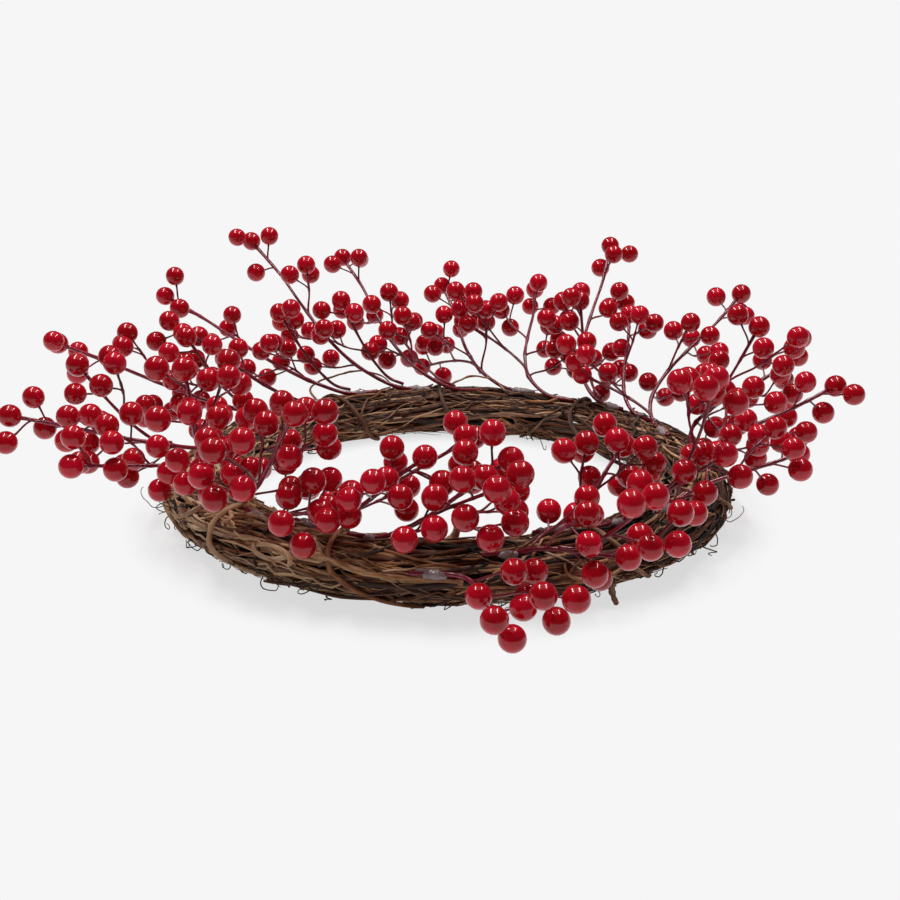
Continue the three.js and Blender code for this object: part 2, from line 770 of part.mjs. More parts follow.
growSprays().forEach(({ stem, branch }, i) => {
  addPiece(`spray_${numbered(i)}_stem`, sprayGeometry(stem), lacquer);
  if (branch) addPiece(`spray_${numbered(i)}_branch`, sprayGeometry(branch), lacquer);
});

const model = new THREE.Group();
model.add(wreath);

export default model;
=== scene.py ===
"""The looks of a berry wreath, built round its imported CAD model.

The wound vines, the binding vine and the berry sprays stand for their CAD solids. The sprays grow
by the same rules as in the CAD source, so each berry hangs where its solid does. Sizes are in
millimetres from the middle of the ring, and the meshes in metres in the part's frame.
"""

import logging
import math
from collections.abc import Iterator
from dataclasses import dataclass, field
from enum import Enum

import bpy
import numpy as np
from mathutils import Matrix, Vector

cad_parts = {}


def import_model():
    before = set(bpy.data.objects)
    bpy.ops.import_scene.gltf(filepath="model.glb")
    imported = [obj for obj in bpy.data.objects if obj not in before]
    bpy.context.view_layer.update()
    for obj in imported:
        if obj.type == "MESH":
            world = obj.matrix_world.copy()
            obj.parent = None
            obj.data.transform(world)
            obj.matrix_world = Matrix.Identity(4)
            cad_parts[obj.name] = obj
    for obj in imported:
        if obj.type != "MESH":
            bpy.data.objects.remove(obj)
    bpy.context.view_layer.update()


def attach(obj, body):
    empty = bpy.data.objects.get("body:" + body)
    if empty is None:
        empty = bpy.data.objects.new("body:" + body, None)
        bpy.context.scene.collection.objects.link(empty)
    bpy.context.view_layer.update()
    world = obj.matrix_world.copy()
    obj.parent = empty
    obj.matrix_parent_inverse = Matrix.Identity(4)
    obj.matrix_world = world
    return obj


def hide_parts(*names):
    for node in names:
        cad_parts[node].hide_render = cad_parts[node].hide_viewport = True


Stops = tuple[tuple[float, str], ...]
Range = tuple[float, float]
Point = tuple[float, float, float]
Inputs = dict[str | int, object] | tuple[object, ...]

LOG = logging.getLogger("berry_wreath")
MILLIMETRE = 0.001
DEGREE = math.pi / 180
FULL_TURN = 2 * math.pi
GOLDEN_ANGLE = 137.5
RING_CENTRE = np.array([5.0, -23.0, 0.0])
BODY = "root"


class Slot(Enum):
    """The record's material slots."""

    VINE = "vine"
    BINDING = "binding"
    BERRY = "berry"


# Small helpers


def linear(colour: str) -> tuple[float, float, float, float]:
    """Turns an sRGB hex colour to linear light.

    Args:
        colour: Six hex digits after a hash sign.

    Returns:
        Red, green, blue and an alpha of 1.
    """
    parts = (int(colour[i : i + 2], 16) / 255 for i in (1, 3, 5))
    return (*(p / 12.92 if p <= 0.04045 else ((p + 0.055) / 1.055) ** 2.4 for p in parts), 1.0)


def unit(vectors: np.ndarray) -> np.ndarray:
    """Scales each vector to a length of one."""
    return vectors / np.linalg.norm(vectors, axis=-1, keepdims=True)


def bell(count: int, middle: float, width: float) -> np.ndarray:
    """A bell curve over samples: e to minus the square of their distance from a middle, in widths."""
    return np.exp(-(((np.arange(count) - middle) / width) ** 2))


def sway(count: int, waves: float, rng: np.random.Generator) -> np.ndarray:
    """Makes a smooth random swing: the sum of three sine waves of random phase.

    Args:
        count: Number of samples.
        waves: Number of waves of the slowest sine over the samples.
        rng: Source of the phases.

    Returns:
        Samples that stay between about -1 and 1.
    """
    along = np.linspace(0, FULL_TURN * waves, count)
    phases = rng.uniform(0, FULL_TURN, 3)
    terms = [np.sin(along * pace + phase) for pace, phase in zip((1, 1.73, 2.9), phases)]
    return 0.55 * terms[0] + 0.3 * terms[1] + 0.2 * terms[2]


def flow(path: np.ndarray, steps: int, start: np.ndarray | None = None) -> np.ndarray:
    """Lays a smooth curve through the points of a path, as cubic pieces that share tangents.

    Args:
        path: Points, one row each.
        steps: Number of samples from one point to the next.
        start: Direction that the curve sets out in, or None for that of its first piece.

    Returns:
        Points of the curve, steps for each piece and one more.
    """
    pieces = np.diff(path, axis=0)
    sizes = np.linalg.norm(pieces, axis=1, keepdims=True)
    slopes = pieces / sizes
    inner = slopes[:-1] * sizes[1:] + slopes[1:] * sizes[:-1]
    inner = inner / (sizes[1:] + sizes[:-1])
    first = slopes[:1] if start is None else unit(start)[None, :]
    tangents = np.concatenate([first, inner, slopes[-1:]])
    t = (np.arange(steps) / steps)[None, :, None]
    low, high = path[:-1, None], path[1:, None]
    out, into = tangents[:-1, None] * sizes[:, None], tangents[1:, None] * sizes[:, None]
    curve = (2 * t**3 - 3 * t**2 + 1) * low + (t**3 - 2 * t**2 + t) * out
    curve = curve + (3 * t**2 - 2 * t**3) * high + (t**3 - t**2) * into
    return np.concatenate([curve.reshape(-1, 3), path[-1:]])


def stand(name: str, data: bpy.types.ID) -> bpy.types.Object:
    """Puts a mesh, camera or lamp in the scene, and returns its object."""
    made = bpy.data.objects.new(name, data)
    bpy.context.scene.collection.objects.link(made)
    return made


def feed(tree: bpy.types.NodeTree, made: bpy.types.Node, inputs: Inputs) -> None:
    """Sets a shader node's inputs.

    Args:
        tree: The tree that the node is in.
        made: The node.
        inputs: By name or number, or in order: values, sockets, or nodes for their first output.
    """
    for name, value in inputs.items() if isinstance(inputs, dict) else enumerate(inputs):
        source = value.outputs[0] if isinstance(value, bpy.types.Node) else value
        if isinstance(source, bpy.types.NodeSocket):
            tree.links.new(source, made.inputs[name])
        else:
            made.inputs[name].default_value = source


def node(
    tree: bpy.types.NodeTree, kind: str, inputs: Inputs = (), stops: Stops = (), **settings: object
) -> bpy.types.Node:
    """Adds a shader node with its settings and links.

    Args:
        tree: The tree that gets the node.
        kind: Blender's name for the node type.
        inputs: What feed() gives the node.
        stops: Places and sRGB colours of a colour ramp.
        **settings: Properties of the node.

    Returns:
        The node.
    """
    made = tree.nodes.new(kind)
    for name, value in settings.items():
        setattr(made, name, value)
    feed(tree, made, inputs)
    if stops:
        elements = made.color_ramp.elements
        while len(elements) < len(stops):
            elements.new(1.0)
        for element, (place, colour) in zip(elements, stops):
            element.position = place
            element.color = linear(colour)
    return made


def blank(name: str) -> tuple[bpy.types.Material, bpy.types.NodeTree, bpy.types.Node]:
    """Starts a material.

    Args:
        name: Its name.

    Returns:
        The material, its tree and the plain shader in that.
    """
    material = bpy.data.materials.new(name)
    material.use_nodes = True
    return material, material.node_tree, material.node_tree.nodes["Principled BSDF"]


# Meshes


class Shell:
    """The tubes and balls of one piece, gathered as whole arrays before the mesh is made.

    Each face corner has a place on a map in millimetres, round a strand and along it. Each point
    has a tone from 0 to 1, by which the materials tell one strand or berry from the next.
    """

    BALL_SQUARES = 5
    BALL_LENGTH = 1.02
    SKEW = np.array([0.31, 0.22, 0.92])

    def __init__(self) -> None:
        """Starts with nothing in it."""
        self.points: list[np.ndarray] = []
        self.tones: list[np.ndarray] = []
        self.faces: list[np.ndarray] = []
        self.maps: list[np.ndarray] = []
        self.count = 0

    def add(self, points: np.ndarray, tone: float | np.ndarray) -> int:
        """Adds points.

        Args:
            points: The points, one row each.
            tone: Tone of all, or one for each.

        Returns:
            The number of the first one.
        """
        first = self.count
        self.points.append(points)
        self.tones.append(np.broadcast_to(np.asarray(tone, float), (len(points),)))
        self.count += len(points)
        return first

    def tube(
        self,
        path: np.ndarray,
        radii: np.ndarray,
        reference: np.ndarray,
        sides: int,
        tone: float,
        ridges: np.ndarray | float = 0,
    ) -> None:
        """Adds a closed tube: a ring of corners round each point of a path, and a low dome at each end.

        Args:
            path: Points along the middle.
            radii: Radius at each point.
            reference: Direction, or one for each point, that the corners are counted from.
            sides: Number of corners in a ring.
            tone: Tone of the whole tube.
            ridges: Share by which each corner stands out, for each point and side.
        """
        tangents = unit(np.gradient(path, axis=0))
        side = unit(np.cross(tangents, reference))
        up = np.cross(side, tangents)
        turns = (FULL_TURN * np.arange(sides) / sides)[:, None]
        spokes = np.cos(turns) * up[:, None] + np.sin(turns) * side[:, None]
        spread = np.broadcast_to(radii[:, None] * (1 + ridges), (len(path), sides))
        rings = (path[:, None] + spread[..., None] * spokes).reshape(-1, 3)
        domes = [path[0] - tangents[0] * radii[0] * 0.5, path[-1] + tangents[-1] * radii[-1] * 0.5]
        first = self.add(np.concatenate([rings, domes]), tone)
        steps, s = np.arange(len(path) - 1)[:, None] * sides, np.arange(sides)[None, :]
        after = (s + 1) % sides
        quads = np.stack([steps + s, steps + after, steps + sides + after, steps + sides + s], -1)
        self.faces.append(quads.reshape(-1, 4) + first)
        lengths = np.concatenate([[0], np.cumsum(np.linalg.norm(np.diff(path, axis=0), axis=1))])
        girth = FULL_TURN * radii.mean() / sides
        across = np.stack([s, s + 1, s + 1, s], -1) * girth
        along = np.stack([lengths[:-1], lengths[:-1], lengths[1:], lengths[1:]], -1)[:, None]
        places = np.stack(np.broadcast_arrays(across, along), -1)
        self.maps.append(places.reshape(-1, 4, 2))
        corners = (s[0], after[0])
        last = len(rings) - sides
        for pole, base, order, far in ((0, 0, (1, 0), 0.0), (1, last, (0, 1), lengths[-1])):
            fan = [np.full(sides, len(rings) + pole), *(base + corners[n] for n in order)]
            self.faces.append(np.stack(fan, -1) + first)
            across = np.stack([s[0] + 0.5, *(s[0] + n for n in order)], -1) * girth
            self.maps.append(np.stack([across, np.full(across.shape, far)], -1))

    def balls(
        self, centres: np.ndarray, headings: np.ndarray, radii: np.ndarray, tones: np.ndarray
    ) -> None:
        """Adds round berries: the six sides of a cube, cut into squares and blown up to a ball.

        Each side's grid is bent by a tangent, so that its squares come out alike. A ball is a
        little longer along its stalk than across, and its corners stand a little out, so that
        its outline encloses the round one's area.

        Args:
            centres: Middle of each berry.
            headings: Direction from its stalk to its middle.
            radii: Radius of each berry.
            tones: Tone of each berry.
        """
        steps = self.BALL_SQUARES
        half = math.pi / steps / 4
        outline = math.sqrt(half / math.cos(half) / math.sin(half))
        across = np.tan(np.linspace(-1, 1, steps + 1) * math.pi / 4)
        u, v = (grid.ravel() for grid in np.meshgrid(across, across, indexing="ij"))
        one = np.ones_like(u)
        sides = ((u, v, one), (v, u, -one), (one, u, v), (-one, v, u), (v, one, u), (u, -one, v))
        cube = np.concatenate([np.stack(side, -1) for side in sides])
        i, j = (grid.ravel() for grid in np.meshgrid(range(steps), range(steps), indexing="ij"))
        corner = i * (steps + 1) + j
        quad = np.stack([corner, corner + steps + 1, corner + steps + 2, corner + 1], -1)
        quads = np.concatenate([quad + n * (steps + 1) ** 2 for n in range(len(sides))])
        shared, index = np.unique(np.round(unit(cube), 6), axis=0, return_inverse=True)
        quads = index.reshape(-1)[quads]
        shared = unit(shared) * outline * np.array([1.0, 1.0, self.BALL_LENGTH])
        aside = unit(np.cross(headings, self.SKEW))
        frames = np.stack([aside, np.cross(headings, aside), headings], axis=1)
        points = centres[:, None] + radii[:, None, None] * np.einsum("pk,nkc->npc", shared, frames)
        first = self.add(points.reshape(-1, 3), np.repeat(tones, len(shared)))
        starts = first + len(shared) * np.arange(len(centres))[:, None, None]
        self.faces.append((quads[None] + starts).reshape(-1, 4))
        flat = shared[quads][:, :, :2] * radii.mean()
        self.maps.append(np.tile(flat, (len(centres), 1, 1)))

    def piece(self, name: str, material: bpy.types.Material, slot: Slot, *replaced: str) -> None:
        """Makes the mesh object, hangs it on the body that it rides on, and hides the CAD nodes that it
        stands for.

        What would reach below the surface that the wreath lies on is worn off.

        Args:
            name: Name of the piece.
            material: Its finish.
            slot: The record's slot that the finish follows. Not used.
            *replaced: CAD nodes that the piece stands for.
        """
        mesh = bpy.data.meshes.new(name)
        points = np.concatenate(self.points)
        points[:, 2] = np.maximum(points[:, 2], 0)
        corners = np.concatenate([faces.ravel() for faces in self.faces])
        sizes = np.concatenate([np.full(len(faces), faces.shape[1]) for faces in self.faces])
        mesh.vertices.add(len(points))
        mesh.vertices.foreach_set("co", ((points + RING_CENTRE) * MILLIMETRE).ravel())
        mesh.loops.add(len(corners))
        mesh.loops.foreach_set("vertex_index", corners)
        mesh.polygons.add(len(sizes))
        mesh.polygons.foreach_set("loop_start", np.concatenate([[0], np.cumsum(sizes)[:-1]]))
        places = np.concatenate([places.ravel() for places in self.maps])
        mesh.uv_layers.new(name="strand").uv.foreach_set("vector", places)
        tone = mesh.attributes.new("tone", "FLOAT", "POINT")
        tone.data.foreach_set("value", np.concatenate(self.tones))
        mesh.update(calc_edges=True)
        mesh.shade_smooth()
        mesh.materials.append(material)
        made = stand(name, mesh)
        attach(made, BODY)
        if replaced:
            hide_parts(*replaced)
        LOG.info("%s: %d points, %d faces", name, len(points), len(sizes))


# Finishes


BROWNS = (
    (0.0, "#1c1109"),
    (0.22, "#3a2118"),
    (0.45, "#653c28"),
    (0.62, "#8b5432"),
    (0.82, "#b58055"),
    (1.0, "#d0aa83"),
)
GREYS = ((0.0, "#1b1511"), (0.25, "#382a24"), (0.5, "#665044"), (0.8, "#98806e"), (1.0, "#c0aa96"))
# Darker browns: the tendrils' own dark colour, and painted shade on the inner vines, which show only in
# the gaps.
DARK_AND_SHADED_BROWNS = ((0.0, "#0d0907"), (0.4, "#1f1611"), (0.75, "#463022"), (1.0, "#6a4c38"))


@dataclass(frozen=True)
class Bark:
    """Dry vine bark, split off in the woods and left to curl: matt, with long fibres.

    The eye sees a different brown on every strand, most of them warm and some gone grey in the
    weather, lighter fibres along it a third of a millimetre apart, and hardly any shine.
    """

    name: str = "dry_vine_bark"
    stops: Stops = BROWNS
    weathered: Stops = GREYS
    weathered_lots: Range = (0.5, 0.95)
    weathered_most: float = 0.75
    roughness: Range = (0.92, 0.7)
    fibre_spacing: float = 0.35
    fibre_length: float = 9.0
    fibre_shades: Range = (-0.22, 0.2)
    patch_shades: Range = (-0.18, 0.16)
    relief: float = 0.25
    # Painted light: the direction round the ring, the span and the shades of the paler side.
    light_side_way: float = 3.5
    light_side_reach: Range = (0.06, 0.14)
    light_side_shades: Range = (-0.03, 0.17)

    def make(self) -> bpy.types.Material:
        """Builds the material: ramps of browns and greys by strand, streaked along the fibres.

        The strands are paler towards the left front of the ring: painted light from that side.

        Returns:
            The material.
        """
        material, tree, shader = blank(self.name)
        tone = node(tree, "ShaderNodeAttribute", attribute_name="tone").outputs["Fac"]
        place = node(tree, "ShaderNodeUVMap", uv_map="strand")
        stretch = (1 / self.fibre_spacing / 4, 1 / self.fibre_length, 1.0)
        along = node(tree, "ShaderNodeMapping", {"Vector": place, "Scale": stretch})
        apart = node(tree, "ShaderNodeMath", (tone, 97.0), operation="MULTIPLY")
        fine = {"Vector": along, "W": apart, "Scale": 1.0, "Detail": 4.0, "Roughness": 0.6}
        fibres = node(tree, "ShaderNodeTexNoise", fine, noise_dimensions="4D")
        broad = {"Vector": place, "W": apart, "Scale": 0.09, "Detail": 3.0}
        patches = node(tree, "ShaderNodeTexNoise", broad, noise_dimensions="4D")
        streak = node(tree, "ShaderNodeMapRange", (fibres, 0.3, 0.7, *self.fibre_shades))
        patch = node(tree, "ShaderNodeMapRange", (patches, 0.3, 0.7, *self.patch_shades))
        # Painted light: the shade rises towards the left front of the ring.
        spot = node(tree, "ShaderNodeTexCoord").outputs["Object"]
        way = (math.cos(self.light_side_way), math.sin(self.light_side_way), 0.0)
        side = node(tree, "ShaderNodeVectorMath", (spot, way), operation="DOT_PRODUCT").outputs["Value"]
        painted_light = node(tree, "ShaderNodeMapRange", (side, *self.light_side_reach, *self.light_side_shades))
        uneven = node(tree, "ShaderNodeMath", (streak, patch), operation="ADD")
        mixed = node(tree, "ShaderNodeMath", (uneven, painted_light), operation="ADD")
        shade = node(tree, "ShaderNodeMath", (mixed, tone), operation="ADD", use_clamp=True)
        warm = node(tree, "ShaderNodeValToRGB", (shade,), self.stops)
        grey = node(tree, "ShaderNodeValToRGB", (shade,), self.weathered)
        lot = node(tree, "ShaderNodeMath", (apart,), operation="FRACT")
        age = node(tree, "ShaderNodeMapRange", (lot, *self.weathered_lots, 0.0, self.weathered_most))
        browns = node(tree, "ShaderNodeMix", {0: age, 6: warm, 7: grey}, data_type="RGBA").outputs[2]
        wear = node(tree, "ShaderNodeMapRange", (fibres, 0.3, 0.7, *self.roughness))
        relief = {"Height": fibres, "Strength": 0.8, "Distance": self.relief * MILLIMETRE}
        bump = node(tree, "ShaderNodeBump", relief)
        feed(tree, shader, {"Base Color": browns, "Roughness": wear, "Normal": bump})
        return material


@dataclass(frozen=True)
class Lacquer:
    """Foam berries dipped in red paint and clear gloss lacquer.

    The eye sees a deep red that glows in the middle and darkens towards the edge, where the
    thick coat has a pink sheen, two sharp white windows on it, and no two quite alike.
    """

    name: str = "red_gloss_lacquer"
    stops: Stops = ((0.0, "#be0622"), (0.5, "#de0a30"), (1.0, "#f41a4a"))
    cloud_shades: Range = (-0.2, 0.2)
    roughness: Range = (0.25, 0.37)
    coat_roughness: float = 0.035
    coat_ior: float = 1.46
    coat_tint: str = "#e8a0ae"
    cloud_size: float = 4.0
    dimple_size: float = 1.6
    dimple_depth: float = 0.1
    specular: float = 0.2
    sheen: float = 0.45
    sheen_roughness: float = 0.3
    sheen_colour: str = "#ff8ca8"

    def make(self) -> bpy.types.Material:
        """Builds the material: a ramp of reds by berry, cloudy paint, and a clear coat on top.

        Returns:
            The material.
        """
        material, tree, shader = blank(self.name)
        tone = node(tree, "ShaderNodeAttribute", attribute_name="tone").outputs["Fac"]
        place = node(tree, "ShaderNodeTexCoord").outputs["Object"]
        cloudy = {"Vector": place, "Scale": 1 / self.cloud_size / MILLIMETRE, "Detail": 2.0}
        clouds = node(tree, "ShaderNodeTexNoise", cloudy)
        cloud = node(tree, "ShaderNodeMapRange", (clouds, 0.3, 0.7, *self.cloud_shades))
        shade = node(tree, "ShaderNodeMath", (cloud, tone), operation="ADD", use_clamp=True)
        dimpled = {"Vector": place, "Scale": 1 / (self.dimple_size * MILLIMETRE), "Detail": 1.0}
        skin = node(tree, "ShaderNodeTexNoise", dimpled)
        relief = {"Height": skin, "Strength": 0.12, "Distance": self.dimple_depth * MILLIMETRE}
        inputs = {
            "Base Color": node(tree, "ShaderNodeValToRGB", (shade,), self.stops),
            "Roughness": node(tree, "ShaderNodeMapRange", (clouds, 0.3, 0.7, *self.roughness)),
            "Normal": node(tree, "ShaderNodeBump", relief),
            "Coat Weight": 1.0,
            "Coat Roughness": self.coat_roughness,
            "Coat IOR": self.coat_ior,
            "Coat Tint": linear(self.coat_tint),
            "Specular IOR Level": self.specular,
            "Specular Tint": linear(self.sheen_colour),
            "Sheen Weight": self.sheen,
            "Sheen Roughness": self.sheen_roughness,
            "Sheen Tint": linear(self.sheen_colour),
        }
        feed(tree, shader, inputs)
        return material


@dataclass(frozen=True)
class Wrap:
    """Wire wound with burgundy paper tape, under the same lacquer as the berries.

    The eye sees a dark wine red with a dull gloss, the tape's slanted edges two millimetres
    apart, and paler places where the lacquer lies thick.
    """

    name: str = "burgundy_stem_tape"
    stops: Stops = ((0.0, "#4e0716"), (0.4, "#7c1026"), (0.75, "#9c2440"), (1.0, "#bc5c78"))
    spot_shades: Range = (-0.3, 0.3)
    roughness: Range = (0.53, 0.3)
    coat: float = 0.6
    coat_roughness: float = 0.14
    specular: float = 0.25
    pitch: float = 2.0
    edge_depth: float = 0.2

    def make(self) -> bpy.types.Material:
        """Builds the material: slanted bands along the wire over patches of wine red.

        Returns:
            The material.
        """
        material, tree, shader = blank(self.name)
        tone = node(tree, "ShaderNodeAttribute", attribute_name="tone").outputs["Fac"]
        place = node(tree, "ShaderNodeUVMap", uv_map="strand")
        slant = (0.3 / self.pitch, 1 / self.pitch, 1.0)
        turned = node(tree, "ShaderNodeMapping", {"Vector": place, "Scale": slant})
        wound = {"Vector": turned, "Scale": 0.32, "Distortion": 1.2, "Detail": 1.0}
        saw = {"bands_direction": "DIAGONAL", "wave_profile": "SAW"}
        bands = node(tree, "ShaderNodeTexWave", wound, **saw).outputs["Fac"]
        spots = node(tree, "ShaderNodeTexNoise", {"Vector": place, "Scale": 0.4, "Detail": 3.0})
        spot = node(tree, "ShaderNodeMapRange", (spots, 0.3, 0.75, *self.spot_shades))
        shade = node(tree, "ShaderNodeMath", (spot, tone), operation="ADD", use_clamp=True)
        relief = {"Height": bands, "Strength": 0.6, "Distance": self.edge_depth * MILLIMETRE}
        inputs = {
            "Base Color": node(tree, "ShaderNodeValToRGB", (shade,), self.stops),
            "Roughness": node(tree, "ShaderNodeMapRange", (spots, 0.3, 0.7, *self.roughness)),
            "Normal": node(tree, "ShaderNodeBump", relief),
            "Coat Weight": self.coat,
            "Coat Roughness": self.coat_roughness,
            "Specular IOR Level": self.specular,
        }
        feed(tree, shader, inputs)
        return material


@dataclass(frozen=True)
class HotGlue:
    """Hot-melt glue, squeezed on and set: milky clear, with a soft wet shine."""

    name: str = "hot_melt_glue"
    stops: Stops = ((0.3, "#c8b0b4"), (0.75, "#e8e0dc"))
    roughness: float = 0.12
    ior: float = 1.48
    clearness: float = 0.5
    cloud_scale: float = 0.6
    wave_depth: float = 0.3

    def make(self) -> bpy.types.Material:
        """Builds the material: a cloudy see-through body with small waves in its skin.

        Returns:
            The material.
        """
        material, tree, shader = blank(self.name)
        place = node(tree, "ShaderNodeTexCoord").outputs["Object"]
        cloudy = {"Vector": place, "Scale": self.cloud_scale / MILLIMETRE, "Detail": 2.0}
        clouds = node(tree, "ShaderNodeTexNoise", cloudy)
        relief = {"Height": clouds, "Strength": 0.4, "Distance": self.wave_depth * MILLIMETRE}
        inputs = {
            "Base Color": node(tree, "ShaderNodeValToRGB", (clouds,), self.stops),
            "Normal": node(tree, "ShaderNodeBump", relief),
            "Roughness": self.roughness,
            "IOR": self.ior,
            "Transmission Weight": self.clearness,
        }
        feed(tree, shader, inputs)
        return material


# The vine ring


@dataclass(frozen=True)
class Bundle:
    """Sizes of the bundle that the ring is wound of, and places on it."""

    ring_diameter: float = 300.0
    width: float = 40.0
    height: float = 25.0
    steps_per_lap: int = 20
    binding_diameter: float = 2.6
    binding_sides: int = 4
    binding_steps: int = 12
    rest_depth: float = 0.26
    clearance: float = 0.3

    @property
    def half_width(self) -> float:
        """Half the bundle's width."""
        return self.width / 2

    @property
    def half_height(self) -> float:
        """Half the bundle's height."""
        return self.height / 2

    @property
    def circle(self) -> float:
        """Radius of the circle through the middle of the bundle."""
        return self.ring_diameter / 2 - self.half_width

    @property
    def lap_sag(self) -> float:
        """How far a lap's straight steps lie inside its circle."""
        return self.circle * (1 - math.cos(math.pi / self.steps_per_lap))

    @property
    def binding_sag(self) -> float:
        """How far a binding turn's straight steps lie inside its round."""
        return self.half_width * (1 - math.cos(math.pi / self.binding_steps))

    @property
    def binding_flat(self) -> float:
        """From the middle of the solid binding vine to its flat sides."""
        return self.binding_diameter / 2 * math.cos(math.pi / self.binding_sides)

    @property
    def level(self) -> float:
        """Height of the bundle's middle above the surface that the wreath lies on."""
        under = self.clearance + self.binding_sag + 2 * self.binding_flat
        return self.half_height + under - self.rest_depth

    @property
    def top(self) -> float:
        """Height of the bundle's top."""
        return self.level + self.half_height

    @property
    def skin(self) -> float:
        """Depth round the bundle that the vines and their binding may fill."""
        return self.clearance + self.lap_sag + self.binding_sag + 2 * self.binding_flat

    def place(
        self, ring: np.ndarray | float, section: np.ndarray | float, offset: np.ndarray | float
    ) -> np.ndarray:
        """Finds points by an angle round the ring, one round the bundle, and a depth out of it.

        Args:
            ring: Angle round the ring, in radians.
            section: Angle round the bundle, 0 outwards and a quarter turn on top.
            offset: Distance out of the bundle's skin.

        Returns:
            Points, one row each, or one point.
        """
        out = self.circle + (self.half_width + offset) * np.cos(section)
        height = self.level + (self.half_height + offset) * np.sin(section)
        return np.stack(np.broadcast_arrays(out * np.cos(ring), out * np.sin(ring), height), -1)

    def outward(self, ring: np.ndarray | float, section: np.ndarray | float) -> np.ndarray:
        """The directions square to the bundle's skin at the angles that place() takes."""
        flat, up = np.cos(section) / self.half_width, np.sin(section) / self.half_height
        return unit(np.stack(np.broadcast_arrays(flat * np.cos(ring), flat * np.sin(ring), up), -1))

    def seat(self, section: np.ndarray | float) -> np.ndarray | float:
        """How far what lies on the vines stays off the skin."""
        return self.clearance + self.lap_sag * np.maximum(0, -np.cos(section))


@dataclass(frozen=True)
class Layer:
    """A lot of loose strands: how many, and the ranges that their sizes and places are drawn from.

    Turns are the degrees of the ring that a strand spans, slants its way round the bundle for
    each radian of those, and depths how far its middle lies out of the bundle's skin.
    """

    name: str
    strands: int
    diameters: Range
    turns: Range
    slants: Range
    depths: Range


LAYERS = (
    Layer("loose_vines", 120, (1.1, 2.7), (25, 120), (-1.4, 1.8), (-1.8, 0.4)),
    Layer("crossing_vines", 170, (0.9, 2.6), (7, 26), (-7.0, 7.0), (-0.4, 1.3)),
    Layer("fine_vines", 300, (0.4, 1.0), (10, 60), (-3.0, 3.0), (-0.8, 1.2)),
)


@dataclass(frozen=True)
class Twig:
    """A stub or twig that stands off the winding: from its root by free points to laid ones.

    The root and the laid points are two angles and a depth, as Bundle.place() takes them.
    """

    diameters: Range
    tone: float
    root: Point
    free: tuple[Point, ...] = ()
    laid: tuple[Point, ...] = ()

    def path(self, bundle: Bundle) -> np.ndarray:
        """The points that the twig passes."""
        first, *laid = (bundle.place(*angles) for angles in (self.root, *self.laid))
        return np.array([first, *self.free, *laid], float)


TWIGS = (
    # Two thin twigs that arch over the back of the ring.
    Twig(
        (1.5, 1.0),
        0.85,
        (2.22, 1.3, -1),
        free=((-87, 135, 29.5), (-72, 138, 35.5), (-60, 140, 37.5), (-44, 139, 35)),
        laid=((1.82, 1.5, -1),),
    ),
    Twig(
        (1.4, 0.9),
        0.8,
        (1.61, 1.6, -1),
        free=((2, 133, 31.5), (15, 136, 35.2), (27, 137, 33)),
        laid=((1.28, 1.7, -1),),
    ),
    # A thick cut end that leans up inside the front.
    Twig((4.6, 4.2), 0.9, (4.66, 2.3, -3), free=((1, -118, 27), (5, -113, 36))),
    # Stubs that point down at the front right.
    Twig((3.2, 2.4), 0.7, (5.26, -0.4, -2), free=((74, -133, 8), (76, -137, 2.2))),
    Twig((2.6, 2.0), 0.6, (5.02, -0.3, -2), free=((42, -147, 9), (47, -151, 5.5))),
    # A forked vine on the front left.
    Twig(
        (3.9, 2.8),
        0.86,
        (4.18, 0.9, 0.4),
        laid=((4.28, 0.75, 1.2), (4.42, 0.5, 1.0), (4.75, 0.25, 0.6)),
    ),
    Twig((2.6, 2.9), 0.82, (4.20, 1.6, -0.4), laid=((4.24, 1.2, 0.8), (4.30, 0.75, 1.0))),
    # Loops at the left end of the ring.
    Twig(
        (2.8, 2.2),
        0.84,
        (3.32, 1.9, -1),
        laid=((3.36, 1.0, 2.2), (3.40, 0.1, 3.2), (3.48, -0.55, 2.6), (3.66, -0.8, 0.8), (3.9, -0.75, -1)),
    ),
    Twig(
        (3.2, 2.4),
        0.92,
        (3.78, 2.2, -1),
        laid=((3.80, 1.5, 1.2), (3.82, 0.8, 2.2), (3.85, 0.1, 2.0), (3.98, -0.4, 0.6), (4.2, -0.5, -1)),
    ),
    Twig(
        (2.8, 2.2),
        0.72,
        (3.52, 1.4, -1),
        laid=((3.6, 1.3, 1.8), (3.7, 0.9, 2.6), (3.66, 0.5, 2.2), (3.5, 0.4, -0.5)),
    ),
)


